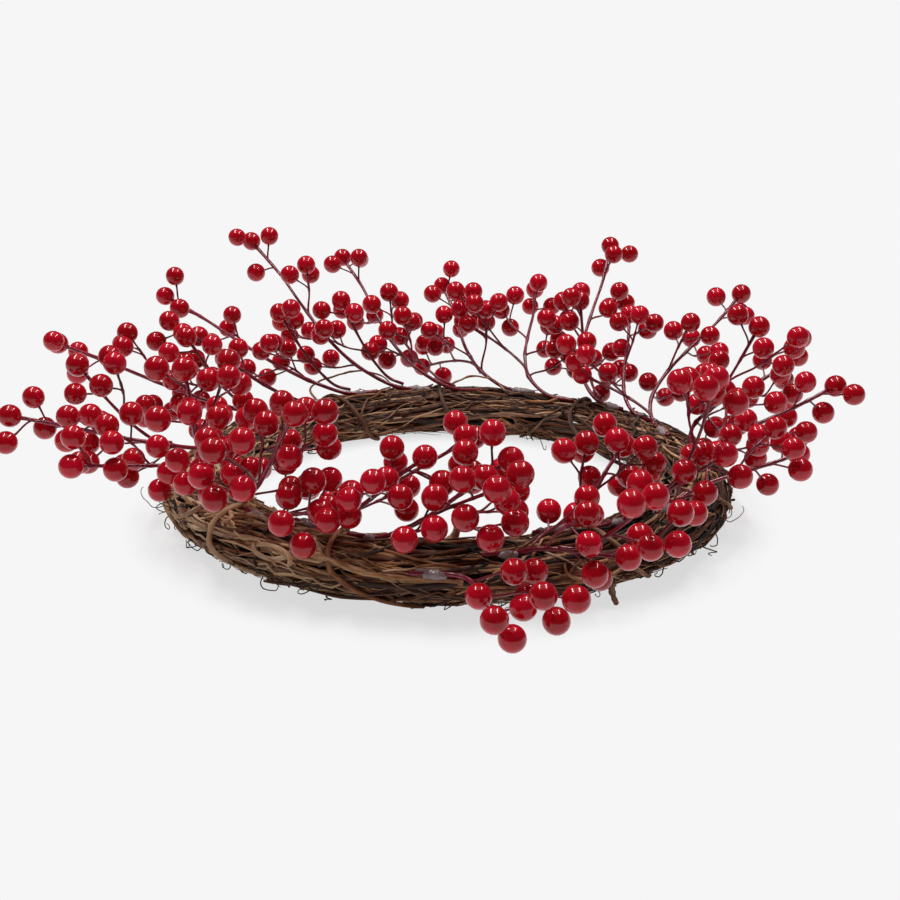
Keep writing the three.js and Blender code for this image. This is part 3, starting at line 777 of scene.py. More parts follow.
@dataclass
class VineRing:
    """The wound vines, with thinner strands between and over them, their binding and tendrils."""

    bundle: Bundle
    feet: list[float]
    vine_diameter: float = 5.2
    vine_sides: int = 5
    winding_gap: float = 0.6
    vine_count: int = 8
    rope_twist: int = 1
    binding_count: int = 4
    binding_room: float = 13.5
    binding_every: int = 2
    binding_steepness: float = 0.9
    foot_diameter: float = 2.6
    strand_diameters: Range = (1.7, 3.3)
    strand_spread: float = 1.5
    strands_together: int = 3
    inner_diameters: Range = (1.8, 3.8)
    inner_depths: Range = (1.6, 4.8)
    inner_strands: int = 30
    # Painted light: ring angle towards which the loose strands get paler tones.
    light_side_angle: float = 3.8
    uneven_tones: float = 0.26
    loops: int = 34
    loop_diameters: Range = (0.9, 2.4)
    nest_loops: int = 16
    nest_diameters: Range = (1.6, 3.4)
    nest_place: Range = (3.05, 4.15)
    bow_turns: Range = (1.6, 4.4)
    bow_lengths: Range = (9.0, 26.0)
    bow_widths: Range = (4.0, 11.0)
    ties: int = 24
    tie_radii: Range = (0.35, 0.6)
    runners: int = 16
    runner_turns: Range = (12.0, 40.0)
    runner_radii: Range = (0.22, 0.42)
    curls: int = 70
    curl_lengths: Range = (10.0, 26.0)
    curl_radii: Range = (0.26, 0.42)
    outer_share: float = 0.78
    left_curls: int = 11
    left_curl_lengths: Range = (20.0, 34.0)
    left_curl_place: Range = (3.1, 3.75)
    strand_lift: float = 0.15
    thread_lift: float = 0.05
    girth_samples: int = 201
    rng: np.random.Generator = field(default_factory=lambda: np.random.default_rng(7))

    def __post_init__(self) -> None:
        """Works out how the section's girth is shared among the laps."""
        self.depth = self.vine_diameter / 2 * math.cos(math.pi / self.vine_sides)
        wide, high = self.bundle.half_width - self.depth, self.bundle.half_height - self.depth
        turns = np.linspace(0, FULL_TURN, self.girth_samples)
        edge = np.stack([wide * np.cos(turns), high * np.sin(turns)], -1)
        self.girth = np.concatenate([[0], np.cumsum(np.linalg.norm(np.diff(edge, axis=0), axis=1))])
        self.laps = int(self.girth[-1] // (self.vine_diameter + self.winding_gap))

    def girth_angle(self, share: np.ndarray) -> np.ndarray:
        """The angle round the bundle at a share of its girth, which may pass one."""
        whole = np.floor(share)
        shares = np.linspace(0, 1, self.girth_samples)
        return FULL_TURN * (whole + np.interp((share - whole) * self.girth[-1], self.girth, shares))

    def cut(self, k: int) -> int:
        """The step of the one long winding at which it is cut for the k-th time."""
        even = self.laps * self.bundle.steps_per_lap * k / self.vine_count
        shift = 5 * math.sin(2.4 * k) if k % self.vine_count else 0
        return math.floor(even + shift + 0.5)

    def ridges(self, count: int, sides: int, depth: float) -> np.ndarray:
        """Makes ridges along a strand: two and three sine waves round it, which fade in and out.

        Args:
            count: Number of points along the strand.
            sides: Number of corners round it.
            depth: How far they stand out, as a share of its radius.

        Returns:
            Shares of the radius, for each point and side.
        """
        turns = FULL_TURN * np.arange(sides) / sides
        two, three = self.rng.uniform(0, FULL_TURN, 2)
        ridge = np.sin(2 * turns + two)[None] * (0.7 + 0.5 * sway(count, 2, self.rng))[:, None]
        ridge = ridge + 0.7 * np.sin(3 * turns + three)[None] * sway(count, 3, self.rng)[:, None]
        return depth * ridge + depth * 0.7 * sway(count, count / 6, self.rng)[:, None]

    def knotty(
        self, radii: np.ndarray, uneven: float, wave: int, apart: int, knot: float
    ) -> np.ndarray:
        """Makes a strand's radii uneven by a sway, with bells for knots.

        Args:
            radii: Radius at each point.
            uneven: Share of the radius that they sway by.
            wave: Points from one wave to the next.
            apart: Points from one knot to the next.
            knot: Share of the radius that a knot adds.

        Returns:
            The new radii.
        """
        count = len(radii)
        radii = radii * (1 + uneven * sway(count, count / wave, self.rng))
        for middle in self.rng.uniform(0, count, max(1, count // apart)):
            radii = radii * (1 + knot * bell(count, middle, 0.8))
        return radii

    def strand(
        self,
        shell: Shell,
        ring: np.ndarray,
        section: np.ndarray,
        offset: np.ndarray,
        diameter: float,
        tone: float,
        sides: int = 6,
        taper: float = 0.55,
    ) -> None:
        """Adds one strand with bark ridges and knots, thinner towards its ends.

        Args:
            shell: What it is added to.
            ring: Angles round the ring.
            section: Angles round the bundle.
            offset: Depths out of the skin.
            diameter: Diameter at the strand's middle.
            tone: Tone of the strand.
            sides: Number of corners round it.
            taper: Diameter at its ends, as a share of that at its middle.
        """
        path = self.bundle.place(ring, section, offset)
        count = len(path)
        ends = np.minimum(np.arange(count), np.arange(count)[::-1]) / max(8, count * 0.2)
        radii = diameter / 2 * (taper + (1 - taper) * np.minimum(1, ends))
        radii = self.knotty(radii, uneven=0.1, wave=14, apart=26, knot=0.22)
        path[:, 2] = np.maximum(path[:, 2], radii + self.strand_lift)
        ridges = self.ridges(count, sides, 0.13)
        shell.tube(path, radii, self.bundle.outward(ring, section), sides, tone, ridges)

    def tone(self, middle: float, darkest: float) -> float:
        """Draws a strand's tone about a middle one."""
        return float(np.clip(self.rng.normal(middle, self.uneven_tones), darkest, 1.0))

    def wound_vines(self, bark: bpy.types.Material) -> None:
        """Makes the vines of the one long winding, each lap a strand further round the bundle.

        Each vine is three thin ones wound together: they go round the middle of the thick one in
        an uneven helix, whose turns are about a hand's width apart.

        Args:
            bark: Their finish.
        """
        across = self.strand_spread / (self.bundle.half_width - self.depth)
        for k in range(self.vine_count):
            shell = Shell()
            first, last = self.cut(k), self.cut(k + 1)
            laps = np.linspace(first + 0.1, last - 0.1, (last - first) * 6) / self.bundle.steps_per_lap
            ring, count = FULL_TURN * laps, len(laps)
            section = self.girth_angle(laps * (self.rope_twist + 1 / self.laps))
            section = section + 0.2 * sway(count, count / 75, self.rng)
            offset = -self.depth + 1.0 * sway(count, count / 60, self.rng)
            for n in range(self.strands_together):
                turn = FULL_TURN * n / self.strands_together + self.rng.uniform(5, 9) * ring
                turn = turn + 1.6 * sway(count, count / 40, self.rng)
                aside = section + across * np.cos(turn) + 0.05 * sway(count, count / 14, self.rng)
                out = offset + 0.8 * self.strand_spread * np.sin(turn)
                out = out + 0.5 * sway(count, count / 11, self.rng)
                diameter = self.rng.uniform(*self.strand_diameters)
                self.strand(shell, ring, aside, out, diameter, self.tone(0.55, 0.08))
            shell.piece(f"wound_vine_{k + 1}", bark, Slot.VINE, f"outer_vine_{k + 1}")

    def inner_vines(self, bark: bpy.types.Material) -> None:
        """Makes the strands of the inner layers in three pieces: a lap each, with a swaying section.

        Args:
            bark: Their finish.
        """
        cores = ("core_vine_inner", "core_vine_middle", "core_vine_outer")
        count = 90
        for place, core in enumerate(cores):
            shell = Shell()
            for n in range(place, self.inner_strands, len(cores)):
                ring = self.rng.uniform(0, FULL_TURN) + np.linspace(0, FULL_TURN * 0.97, count)
                section = FULL_TURN * n / self.inner_strands + ring * self.rope_twist
                section = section + 0.5 * sway(count, 2.5, self.rng)
                offset = -self.depth - self.rng.uniform(*self.inner_depths)
                offset = offset + 1.0 * sway(count, 5, self.rng)
                diameter = self.rng.uniform(*self.inner_diameters)
                # Painted shade: low tones and the darker browns, for strands that lie deep in the gaps.
                self.strand(shell, ring, section, offset, diameter, self.rng.uniform(0.12, 0.5))
            shell.piece(f"inner_vines_{place + 1}", bark, Slot.VINE, core)

    def loose_vines(self, bark: bpy.types.Material) -> None:
        """Makes the thinner strands over the winding, layer by layer, as slanting lines that sway.

        Args:
            bark: Their finish.
        """
        for layer in LAYERS:
            shell = Shell()
            for _ in range(layer.strands):
                turn = self.rng.uniform(*layer.turns) * DEGREE
                count = max(10, int(turn / DEGREE / 1.6))
                along = np.linspace(-0.5, 0.5, count) * turn
                middle = self.rng.uniform(0, FULL_TURN)
                section = self.rng.uniform(-1.0, 4.1) + self.rng.uniform(*layer.slants) * along
                section = section + 0.16 * sway(count, 2, self.rng)
                ends = np.abs(np.linspace(-1, 1, count)) ** 6
                lift = self.rng.uniform(0.0, 2.4)
                offset = self.rng.uniform(*layer.depths) + 0.6 * sway(count, 3, self.rng) + lift * ends
                diameter = self.rng.uniform(*layer.diameters)
                # Painted light: paler tones towards the left front of the ring.
                tone = self.tone(0.62 + 0.12 * math.cos(middle - self.light_side_angle), 0.05)
                sides = 6 if diameter > 1 else 5
                self.strand(shell, middle + along, section, offset, diameter, tone, sides)
            shell.piece(layer.name, bark, Slot.VINE)

    def curled_vines(self, bark: bpy.types.Material) -> None:
        """Makes short vines that dried in a bow, parts of ovals laid on the bundle.

        Most of them lie anywhere round the ring, and the rest make a nest at its left end.

        Args:
            bark: Their finish.
        """
        shell = Shell()
        count = 22
        for n in range(self.loops + self.nest_loops):
            nest = n >= self.loops
            bow = self.rng.uniform(0, FULL_TURN)
            bow = bow + np.linspace(0, self.rng.uniform(*self.bow_turns), count)
            length = self.rng.uniform(*self.bow_lengths) / self.bundle.circle
            width = self.rng.uniform(*self.bow_widths) / self.bundle.half_width
            middle = self.rng.uniform(*(self.nest_place if nest else (0, FULL_TURN)))
            section = self.rng.uniform(0.1, 2.5) + width * np.sin(bow)
            offset = self.rng.uniform(0.2, 1.4) + 0.9 * sway(count, 1, self.rng)
            offset = offset - 2.2 * np.abs(np.linspace(-1, 1, count)) ** 5
            diameter = self.rng.uniform(*(self.nest_diameters if nest else self.loop_diameters))
            tone = self.rng.uniform(*((0.6, 1.0) if nest else (0.35, 0.95)))
            ring = middle + length * np.cos(bow)
            self.strand(shell, ring, section, offset, diameter, tone, sides=7, taper=0.8)
        shell.piece("curled_vines", bark, Slot.VINE)

    def turns(self) -> list[float]:
        """Ring angles where a binding turn crosses the top: behind a foot that has room."""
        bundle = self.bundle
        behind = (bundle.binding_diameter + self.foot_diameter / 2 + bundle.clearance) / bundle.circle
        before = [self.feet[-1], *self.feet[:-1]]
        roomy = [
            foot * DEGREE - behind
            for foot, last in zip(self.feet, before)
            if (foot - last + 360) % 360 > self.binding_room
        ]
        return roomy[self.binding_every - 1 :: self.binding_every]

    def bindings(self, bark: bpy.types.Material) -> None:
        """Makes the binding vines: steep over the top of the bundle, slanting along under it.

        Args:
            bark: Their finish.
        """
        turns = self.turns()
        crossings = np.array([turn + FULL_TURN * lap for lap in range(3) for turn in turns])
        per_turn, sides = self.bundle.binding_steps, 7
        for k in range(self.binding_count):
            first = math.floor(k * len(turns) / self.binding_count + 0.5) * per_turn - 5
            last = math.floor((k + 1) * len(turns) / self.binding_count + 0.5) * per_turn - 7
            steps = np.linspace(first, last, (last - first) * 5 + 1) / per_turn + len(turns)
            whole = np.floor(steps).astype(int)
            part = steps - whole
            slant = part - self.binding_steepness * np.sin(FULL_TURN * part) / FULL_TURN
            ring = crossings[whole] + (crossings[whole + 1] - crossings[whole]) * slant - FULL_TURN
            section = math.pi / 2 - FULL_TURN * part
            offset = self.bundle.seat(section) + 0.6 * self.bundle.binding_sag + self.bundle.binding_flat
            ring = ring + 0.006 * sway(len(ring), 7, self.rng)
            shell = Shell()
            path = self.bundle.place(ring, section, offset)
            radii = self.bundle.binding_diameter / 2 * (0.95 + 0.12 * sway(len(ring), 9, self.rng))
            ridges = self.ridges(len(ring), sides, 0.1)
            shell.tube(path, radii, self.bundle.outward(ring, section), sides, 0.4 + 0.12 * k, ridges)
            shell.piece(f"binding_{k + 1}", bark, Slot.BINDING, f"binding_vine_{k + 1}")

    def tendrils(self, bark: bpy.types.Material) -> None:
        """Makes the thin dark tendrils: short ties, wavy runners and curls at the outer edge.

        Args:
            bark: Their finish.
        """
        shell = Shell()
        for _ in range(self.ties):
            count = 16
            middle = self.rng.uniform(-0.5, 1.9)
            section = middle + np.linspace(-0.5, 0.5, count) * self.rng.uniform(0.8, 1.8)
            ring = self.rng.uniform(0, FULL_TURN) + 0.03 * sway(count, 1, self.rng)
            offset = 0.4 + 0.5 * sway(count, 1, self.rng)
            self.thread(shell, ring, section, offset, self.rng.uniform(*self.tie_radii))
        for _ in range(self.runners):
            turn = self.rng.uniform(*self.runner_turns) * DEGREE
            count = int(turn / DEGREE * 1.6)
            ring = self.rng.uniform(0, FULL_TURN) + np.linspace(0, turn, count)
            section = self.rng.uniform(-1.4, -0.3) + 0.3 * sway(count, 3, self.rng)
            offset = self.rng.uniform(0.4, 1.6) + 1.4 * sway(count, 3, self.rng)
            self.thread(shell, ring, section, offset, self.rng.uniform(*self.runner_radii))
        for _ in range(self.curls):
            ring = self.rng.uniform(0, FULL_TURN)
            outer, inner = self.rng.uniform(-1.3, -0.3), self.rng.uniform(-2.9, -1.8)
            section = outer if self.rng.random() < self.outer_share else inner
            self.curl(shell, ring, section, self.rng.uniform(*self.curl_lengths))
        for _ in range(self.left_curls):
            ring, section = self.rng.uniform(*self.left_curl_place), self.rng.uniform(-0.7, 0.5)
            self.curl(shell, ring, section, self.rng.uniform(*self.left_curl_lengths))
        shell.piece("tendrils", bark, Slot.BINDING)

    def thread(
        self, shell: Shell, ring: np.ndarray, section: np.ndarray, offset: np.ndarray, radius: float
    ) -> None:
        """Adds a thin tendril that lies on the bundle.

        Args:
            shell: What it is added to.
            ring: Angles round the ring.
            section: Angles round the bundle.
            offset: Depths out of the skin.
            radius: Its usual radius, which sways a little.
        """
        path = self.bundle.place(ring, section, offset)
        radii = radius * (1 + 0.15 * sway(len(path), 3, self.rng))
        path[:, 2] = np.maximum(path[:, 2], radii + self.thread_lift)
        shell.tube(path, radii, self.bundle.outward(ring, section), 5, self.rng.uniform(0.05, 0.45))

    def curl(self, shell: Shell, ring: float, section: float, length: float) -> None:
        """Adds a tendril that stands off the bundle and winds up.

        Its heading turns ever faster on the way, so that it ends in a small open ring.

        Args:
            shell: What it is added to.
            ring: Angle round the ring of its root.
            section: Angle round the bundle of its root.
            length: Its length.
        """
        base = self.bundle.place(ring, section, -1.0)
        out = self.bundle.outward(ring, section)
        along = np.array([-math.sin(ring), math.cos(ring), 0.0]) * self.rng.choice([-1, 1])
        way = unit(out * self.rng.uniform(0.5, 1.0) + along * self.rng.uniform(0.3, 1.2))
        aside = unit(np.cross(way, self.rng.normal(0, 1, 3)))
        count = 44
        t = np.linspace(0, 1, count)
        heading = self.rng.uniform(0.5, 1.5) * FULL_TURN * t**2.2 + 0.5 * sway(count, 1.5, self.rng)
        moves = np.cos(heading)[:, None] * way + np.sin(heading)[:, None] * aside
        drift = 0.25 * np.cross(way, aside)
        path = base + length / count * np.cumsum(moves + drift, axis=0)
        radii = self.rng.uniform(*self.curl_radii) * (1 - 0.4 * t)
        path[:, 2] = np.maximum(path[:, 2], radii + self.thread_lift)
        shell.tube(path, radii, drift, 5, self.rng.uniform(0.0, 0.4))

    def twigs(self, bark: bpy.types.Material) -> None:
        """Makes the stubs and twigs that stand off the winding: smooth curves that wobble a little.

        Args:
            bark: Their finish.
        """
        shell = Shell()
        sides = 8
        for twig in TWIGS:
            path = flow(twig.path(self.bundle), 9)
            count = len(path)
            radii = np.linspace(*twig.diameters, count) / 2
            radii = self.knotty(radii, uneven=0.12, wave=10, apart=14, knot=0.25)
            wobble = np.stack([sway(count, count / 16, self.rng) for _ in range(3)], -1)
            path = path + 0.45 * wobble * np.sin(np.linspace(0, math.pi, count))[:, None]
            path[:, 2] = np.maximum(path[:, 2], radii + self.strand_lift)
            chord = path[-1] - path[0]
            reference = unit(np.cross(chord, np.array([0.13, 0.21, 0.97])))
            if np.abs(unit(np.gradient(path, axis=0)) @ reference).max() > 0.9:
                reference = np.cross(chord, reference)
            shell.tube(path, radii, reference, sides, twig.tone, self.ridges(count, sides, 0.14))
        shell.piece("stubs_and_twigs", bark, Slot.VINE)


# The berry sprays


@dataclass(frozen=True)
class Spray:
    """Where a spray's foot lies and its tip reaches: ring angles in degrees, and spray spans.

    The seat is the angle round the bundle where the foot lies. Reach is past the ring's outside,
    rise over its top, and roll the side that the branch leaves on, or None for no branch.
    """

    foot: float
    seat: float
    tip: float
    reach: float
    rise: float
    roll: float | None


SPRAYS = tuple(
    Spray(*row)
    for row in (
        (2, 75, 22, 0.68, 0.32, 0),
        (15, 95, 40, 0.88, 0.54, 270),
        (28, 80, 50, 0.24, 0.44, None),
        (40, 75, 63, 0.84, 0.74, 0),
        (54, 95, 75, 0.72, 0.44, 270),
        (67, 75, 91, 0.78, 0.44, 180),
        (81, 95, 107, 0.96, 0.62, 90),
        (95, 80, 121, 1.04, 0.76, 0),
        (110, 80, 139, 0.84, 0.53, 0),
        (124, 95, 152, 0.32, 0.52, None),
        (138, 75, 163, 0.82, 0.44, 0),
        (152, 112, 206, -0.32, 0.24, None),
        (166, 60, 187, 0.74, 0.3, 0),
        (180, 95, 201, 0.44, 0.18, None),
        (194, 80, 222, 0.1, 0.54, 0),
        (207, 100, 240, -0.08, 0.58, 90),
        (220, 90, 243, -0.12, 0.14, None),
        (233, 110, 262, -0.36, 0.34, 270),
        (248, 100, 280, -0.2, 0.38, 90),
        (263, 30, 277, 0.42, -0.13, None),
        (276, 64, 295, 0.22, 0.06, 0),
        (289, 120, 318, -0.4, 0.26, None),
        (303, 95, 322, 0.08, 0.3, 0),
        (318, 80, 346, 0.29, 0.14, None),
        (336, 95, 5, 0.58, 0.32, 270),
    )
)


class Kind(Enum):
    """What a wire of a spray is.

    Its values are the sides of its section in the CAD source, by what share of a side they are
    turned, and here the samples from corner to corner and the sides of its round tube.
    """

    STEM = (4, 0.5, 6, 8)
    BRANCH = (3, 0.5, 6, 8)
    TWIG = (3, 0.0, 6, 6)
    STALK = (3, 0.0, 7, 6)

    def __init__(self, sides: int, phase: float, samples: int, round_sides: int) -> None:
        """Names the values."""
        self.sides, self.phase = sides, phase
        self.samples, self.round_sides = samples, round_sides

    @property
    def flat(self) -> float:
        """From the middle of the section to a flat side, as a share of its radius."""
        return math.cos(math.pi / self.sides)


@dataclass
class Face:
    """A place on a flat side of a wire in the CAD source, where something may leave it."""

    segment: int
    share: float
    side: int
    root: np.ndarray
    heading: np.ndarray
    normal: np.ndarray


@dataclass(frozen=True)
class Shape:
    """How a wire leaves another one: its length, the tilts to try, its diameter and its elbow."""

    reach: float
    tilts: tuple[float, ...]
    diameter: float
    elbow: float
    kind: Kind


class Rods:
    """All that has grown so far, as rods with round ends."""

    ROOM = 6000
    TINY = 1e-9

    def __init__(self, clearance: float) -> None:
        """Starts with no rods."""
        self.clearance = clearance
        self.starts, self.ends = np.zeros((self.ROOM, 3)), np.zeros((self.ROOM, 3))
        self.radii, self.owners = np.zeros(self.ROOM), np.zeros(self.ROOM, int)
        self.count = 0
        self.owner = 0

    def new_owner(self) -> int:
        """A number for the next wire or berry."""
        self.owner += 1
        return self.owner

    def add(self, start: np.ndarray, end: np.ndarray, radius: float, owner: int) -> None:
        """Adds a rod."""
        self.starts[self.count], self.ends[self.count] = start, end
        self.radii[self.count], self.owners[self.count] = radius, owner
        self.count += 1

    def clear(self, a: np.ndarray, b: np.ndarray, radius: float, owner: int = 0) -> bool:
        """Tells whether a rod is clear of all others: least distance of two segments, all at once.

        Args:
            a: Its start.
            b: Its end.
            radius: Its radius.
            owner: The wire whose own rods don't count.

        Returns:
            True if nothing is nearer than the clearance.
        """
        c, d = self.starts[: self.count], self.ends[: self.count]
        u, v, w = b - a, d - c, a - c
        uu, uv, uw = u @ u, v @ u, w @ u
        vv, vw = np.einsum("ij,ij->i", v, v), np.einsum("ij,ij->i", v, w)
        cross = uu * vv - uv * uv
        s = np.clip((uv * vw - vv * uw) / np.where(cross > self.TINY, cross, 1), 0, 1)
        s = np.where(cross > self.TINY, s, 0)
        t = np.clip((uv * s + vw) / np.where(vv > self.TINY, vv, 1), 0, 1)
        t = np.where(vv > self.TINY, t, 0)
        s = np.clip((uv * t - uw) / uu, 0, 1) if uu > self.TINY else np.zeros_like(t)
        apart = np.linalg.norm(w + s[:, None] * u - t[:, None] * v, axis=1)
        near = apart <= radius + self.radii[: self.count] + self.clearance
        return not bool((near & (self.owners[: self.count] != owner)).any())


class Wire:
    """A wire of a spray, with what leaves it and the berry on its end."""

    def __init__(
        self, rods: Rods, path: list[np.ndarray], diameters: Range, up: np.ndarray, kind: Kind
    ) -> None:
        """Lays the wire and adds its rods.

        Args:
            rods: All that has grown so far.
            path: The wire's corners.
            diameters: Diameters at its start and end.
            up: Direction that its sides are counted from.
            kind: What it is.
        """
        self.rods, self.kind = rods, kind
        self.path = np.array(path)
        count = len(path)
        first, last = diameters
        self.radii = (first + (last - first) * np.arange(count) / (count - 1)) / 2
        ahead, behind = self.path[[*range(1, count), -1]], self.path[[0, *range(count - 1)]]
        self.headings = unit(ahead - behind)
        self.ups = np.zeros_like(self.path)
        for i, heading in enumerate(self.headings):
            up = unit(up - heading * (up @ heading))
            self.ups[i] = up
        self.lengths = np.linalg.norm(np.diff(self.path, axis=0), axis=1)
        self.length = float(self.lengths.sum())
        self.number = rods.new_owner()
        for i in range(count - 1):
            rods.add(self.path[i], self.path[i + 1], self.radii[i], self.number)
        self.outlets: list[tuple[Face, Wire | None]] = []
        self.faces: dict[tuple[int, int, float], Face] = {}
        self.berry: tuple[np.ndarray, np.ndarray, float] | None = None

    def corners(self, i: int) -> np.ndarray:
        """The ring of corners at a point of the path, evenly turned about the heading."""
        side = np.cross(self.headings[i], self.ups[i])
        turns = (FULL_TURN * (np.arange(self.kind.sides) + self.kind.phase) / self.kind.sides)[:, None]
        return self.path[i] + self.radii[i] * (self.ups[i] * np.cos(turns) + side * np.sin(turns))

    def segment_at(self, length: float) -> tuple[int, float]:
        """Finds a place by its length along the wire.

        Args:
            length: The length from the wire's start.

        Returns:
            The segment there, and the share of it, which keeps off its ends.
        """
        left, segment = length, 0
        while segment < len(self.lengths) - 1 and left > self.lengths[segment]:
            left -= self.lengths[segment]
            segment += 1
        return segment, min(0.85, max(0.15, left / self.lengths[segment]))

    def face_at(self, segment: int, share: float, roll: float) -> Face | None:
        """Finds the face that looks nearest to a roll about the wire.

        Args:
            segment: Segment of the wire.
            share: Share of that segment.
            roll: Angle about the wire, in degrees.

        Returns:
            The face, or None if it is used.
        """
        sides = self.kind.sides
        side = math.floor(roll / 360 * sides - 0.5 - self.kind.phase + 0.5) % sides
        if any(face.segment == segment and face.side == side for face, _ in self.outlets):
            return None
        key = (segment, side, share)
        if key not in self.faces:
            low, high = self.corners(segment), self.corners(segment + 1)
            after = (side + 1) % sides
            root = (low[side] + low[after]) / 2 * (1 - share) + (high[side] + high[after]) / 2 * share
            normal = unit(np.cross(high[after] - low[side], high[side] - low[after]))
            heading = unit(self.path[segment + 1] - self.path[segment])
            self.faces[key] = Face(segment, share, side, root, heading, normal)
        return self.faces[key]

    def bear(self, radius: float, faceted: float) -> None:
        """Ends the wire in a berry.

        Args:
            radius: The berry's radius.
            faceted: Room that its solid takes, as a share of that.
        """
        heading = self.headings[-1]
        centre = self.path[-1] + heading * radius
        self.berry = (centre, heading, radius)
        self.rods.add(centre, centre, radius * faceted, self.rods.new_owner())


@dataclass
class BerrySprays:
    """All berry sprays: sizes and growth as in the CAD source, and their round meshes."""

    bundle: Bundle
    berry_diameter: float = 11.5
    berry_spread: float = 0.03
    faceted_berry: float = 1.08
    stem_diameters: Range = (2.6, 1.8)
    branch_diameters: Range = (2.0, 1.5)
    twig_diameter: float = 1.4
    stalk_diameter: float = 1.1
    foot_length: float = 14.0
    foot_gap: float = 0.1
    spray_span: float = 100.0
    stalk_length: float = 9.0
    twig_length: float = 26.0
    tip_berry_spacing: float = 8.5
    branch_length: float = 52.0
    branch_overlap: float = 9.0
    branch_start: float = 24.0
    branch_share: float = 0.15
    opening_share: float = 0.545
    stalk_neck: float = 3.0
    lacquer_coat: float = 0.2
    joint_rise: float = 0.3
    taped_rise: float = 0.22
    rise_width: float = 0.7
    root_flare: float = 1.25
    end_flare: float = 1.35
    roll_tries: tuple[float, ...] = (0, 30, -30, 60, -60, 90, -90, 120, -120, 150, -150, 180)
    stretch_tries: tuple[float, ...] = (1, 1.3, 1.65, 0.8)
    rng: np.random.Generator = field(default_factory=lambda: np.random.default_rng(11))

    def __post_init__(self) -> None:
        """Grows the sprays."""
        bore = self.bundle.ring_diameter / 2 - self.bundle.width
        self.opening_half = self.opening_share * bore
        self.rods = Rods(self.bundle.clearance)
        self.grown = self.grow_all()

    def clear_of_ring(self, centre: np.ndarray, radius: float) -> bool:
        """Tells whether a ball is clear of the ring, the floor and the wreath's opening.

        Args:
            centre: Its middle.
            radius: Its radius.

        Returns:
            True if it is outside the bundle's oval, the opening's square and the floor.
        """
        bundle = self.bundle
        out = math.hypot(centre[0], centre[1]) - bundle.circle
        skin = bundle.skin + radius + bundle.clearance
        reach = (out / (bundle.half_width + skin)) ** 2
        reach += ((centre[2] - bundle.level) / (bundle.half_height + skin)) ** 2
        square = max(abs(centre[0]), abs(centre[1]))
        above = centre[2] > radius + bundle.clearance
        return reach > 1 and square > self.opening_half + radius and above

    def size(self, n: float) -> float:
        """A berry's size, as a share of the usual one."""
        return 1 + self.berry_spread * math.sin(2.1 * n)

    def tries(
        self, wire: Wire, segment: int, share: float, roll: float, tilts: tuple[float, ...]
    ) -> Iterator[tuple[Face, float, float]]:
        """Goes through the ways that something may leave a wire, best first.

        Args:
            wire: The wire.
            segment: Segment of it.
            share: Share of that segment.
            roll: The side that is wanted, in degrees.
            tilts: Angles off the wire, in degrees.

        Yields:
            A free face, an angle off the wire in radians, and a stretch of the length.
        """
        for tilt in tilts:
            for stretch in self.stretch_tries:
                for turn in self.roll_tries:
                    face = wire.face_at(segment, share, roll + turn)
                    if face:
                        yield face, tilt * DEGREE, stretch

    def grow(self, wire: Wire, length: float, roll: float, shape: Shape, size: float) -> Wire | None:
        """Hangs a wire with a berry on another wire, the first way that is clear.

        Args:
            wire: The wire that carries it.
            length: Where along that wire.
            roll: The side of it that is wanted.
            shape: How it leaves.
            size: Size of its berry.

        Returns:
            The new wire, or None where there is no room.
        """
        segment, share = wire.segment_at(length)
        radius = self.berry_diameter / 2 * size
        ball = radius * self.faceted_berry
        thick = max(shape.diameter, self.stalk_diameter) / 2
        clear = self.rods.clear
        for face, tilt, stretch in self.tries(wire, segment, share, roll, shape.tilts):
            half = shape.reach * stretch / 2
            way = face.heading * math.cos(tilt) + face.normal * math.sin(tilt)
            ahead = unit(way + face.heading * shape.elbow)
            bend = face.root + way * half
            end = bend + ahead * half
            centre = end + ahead * radius
            if (
                self.clear_of_ring(centre, ball)
                and self.clear_of_ring(bend, thick)
                and clear(centre, centre, ball)
                and clear(face.root + way * self.bundle.clearance, bend, thick, wire.number)
                and clear(face.root + way * self.stalk_neck, bend, thick)
                and clear(bend, end, thick)
            ):
                path = [face.root, bend, end] if shape.elbow else [face.root, end]
                sizes = (shape.diameter, self.stalk_diameter)
                child = Wire(self.rods, path, sizes, face.heading, shape.kind)
                child.bear(radius, self.faceted_berry)
                wire.outlets.append((face, child))
                return child
        return None

    def grow_stalk(self, wire: Wire, length: float, roll: float, size: float) -> None:
        """Grows a berry on a stalk, as grow() does."""
        shape = Shape(self.stalk_length, (52, 38, 66, 80), self.stalk_diameter, 0, Kind.STALK)
        self.grow(wire, length, roll, shape, size)

    def grow_twig(self, wire: Wire, length: float, roll: float, size: float) -> None:
        """Grows a twig of three berries.

        Args:
            wire: The wire that carries it.
            length: Where along that wire.
            roll: The side of it that is wanted.
            size: Size of its berries.
        """
        shape = Shape(self.twig_length, (45, 58, 72), self.twig_diameter, 0.35, Kind.TWIG)
        twig = self.grow(wire, length, roll, shape, size)
        if twig:
            self.grow_stalk(twig, twig.length * 0.6, 60, size)
            self.grow_stalk(twig, twig.length * 0.74, 300, size)

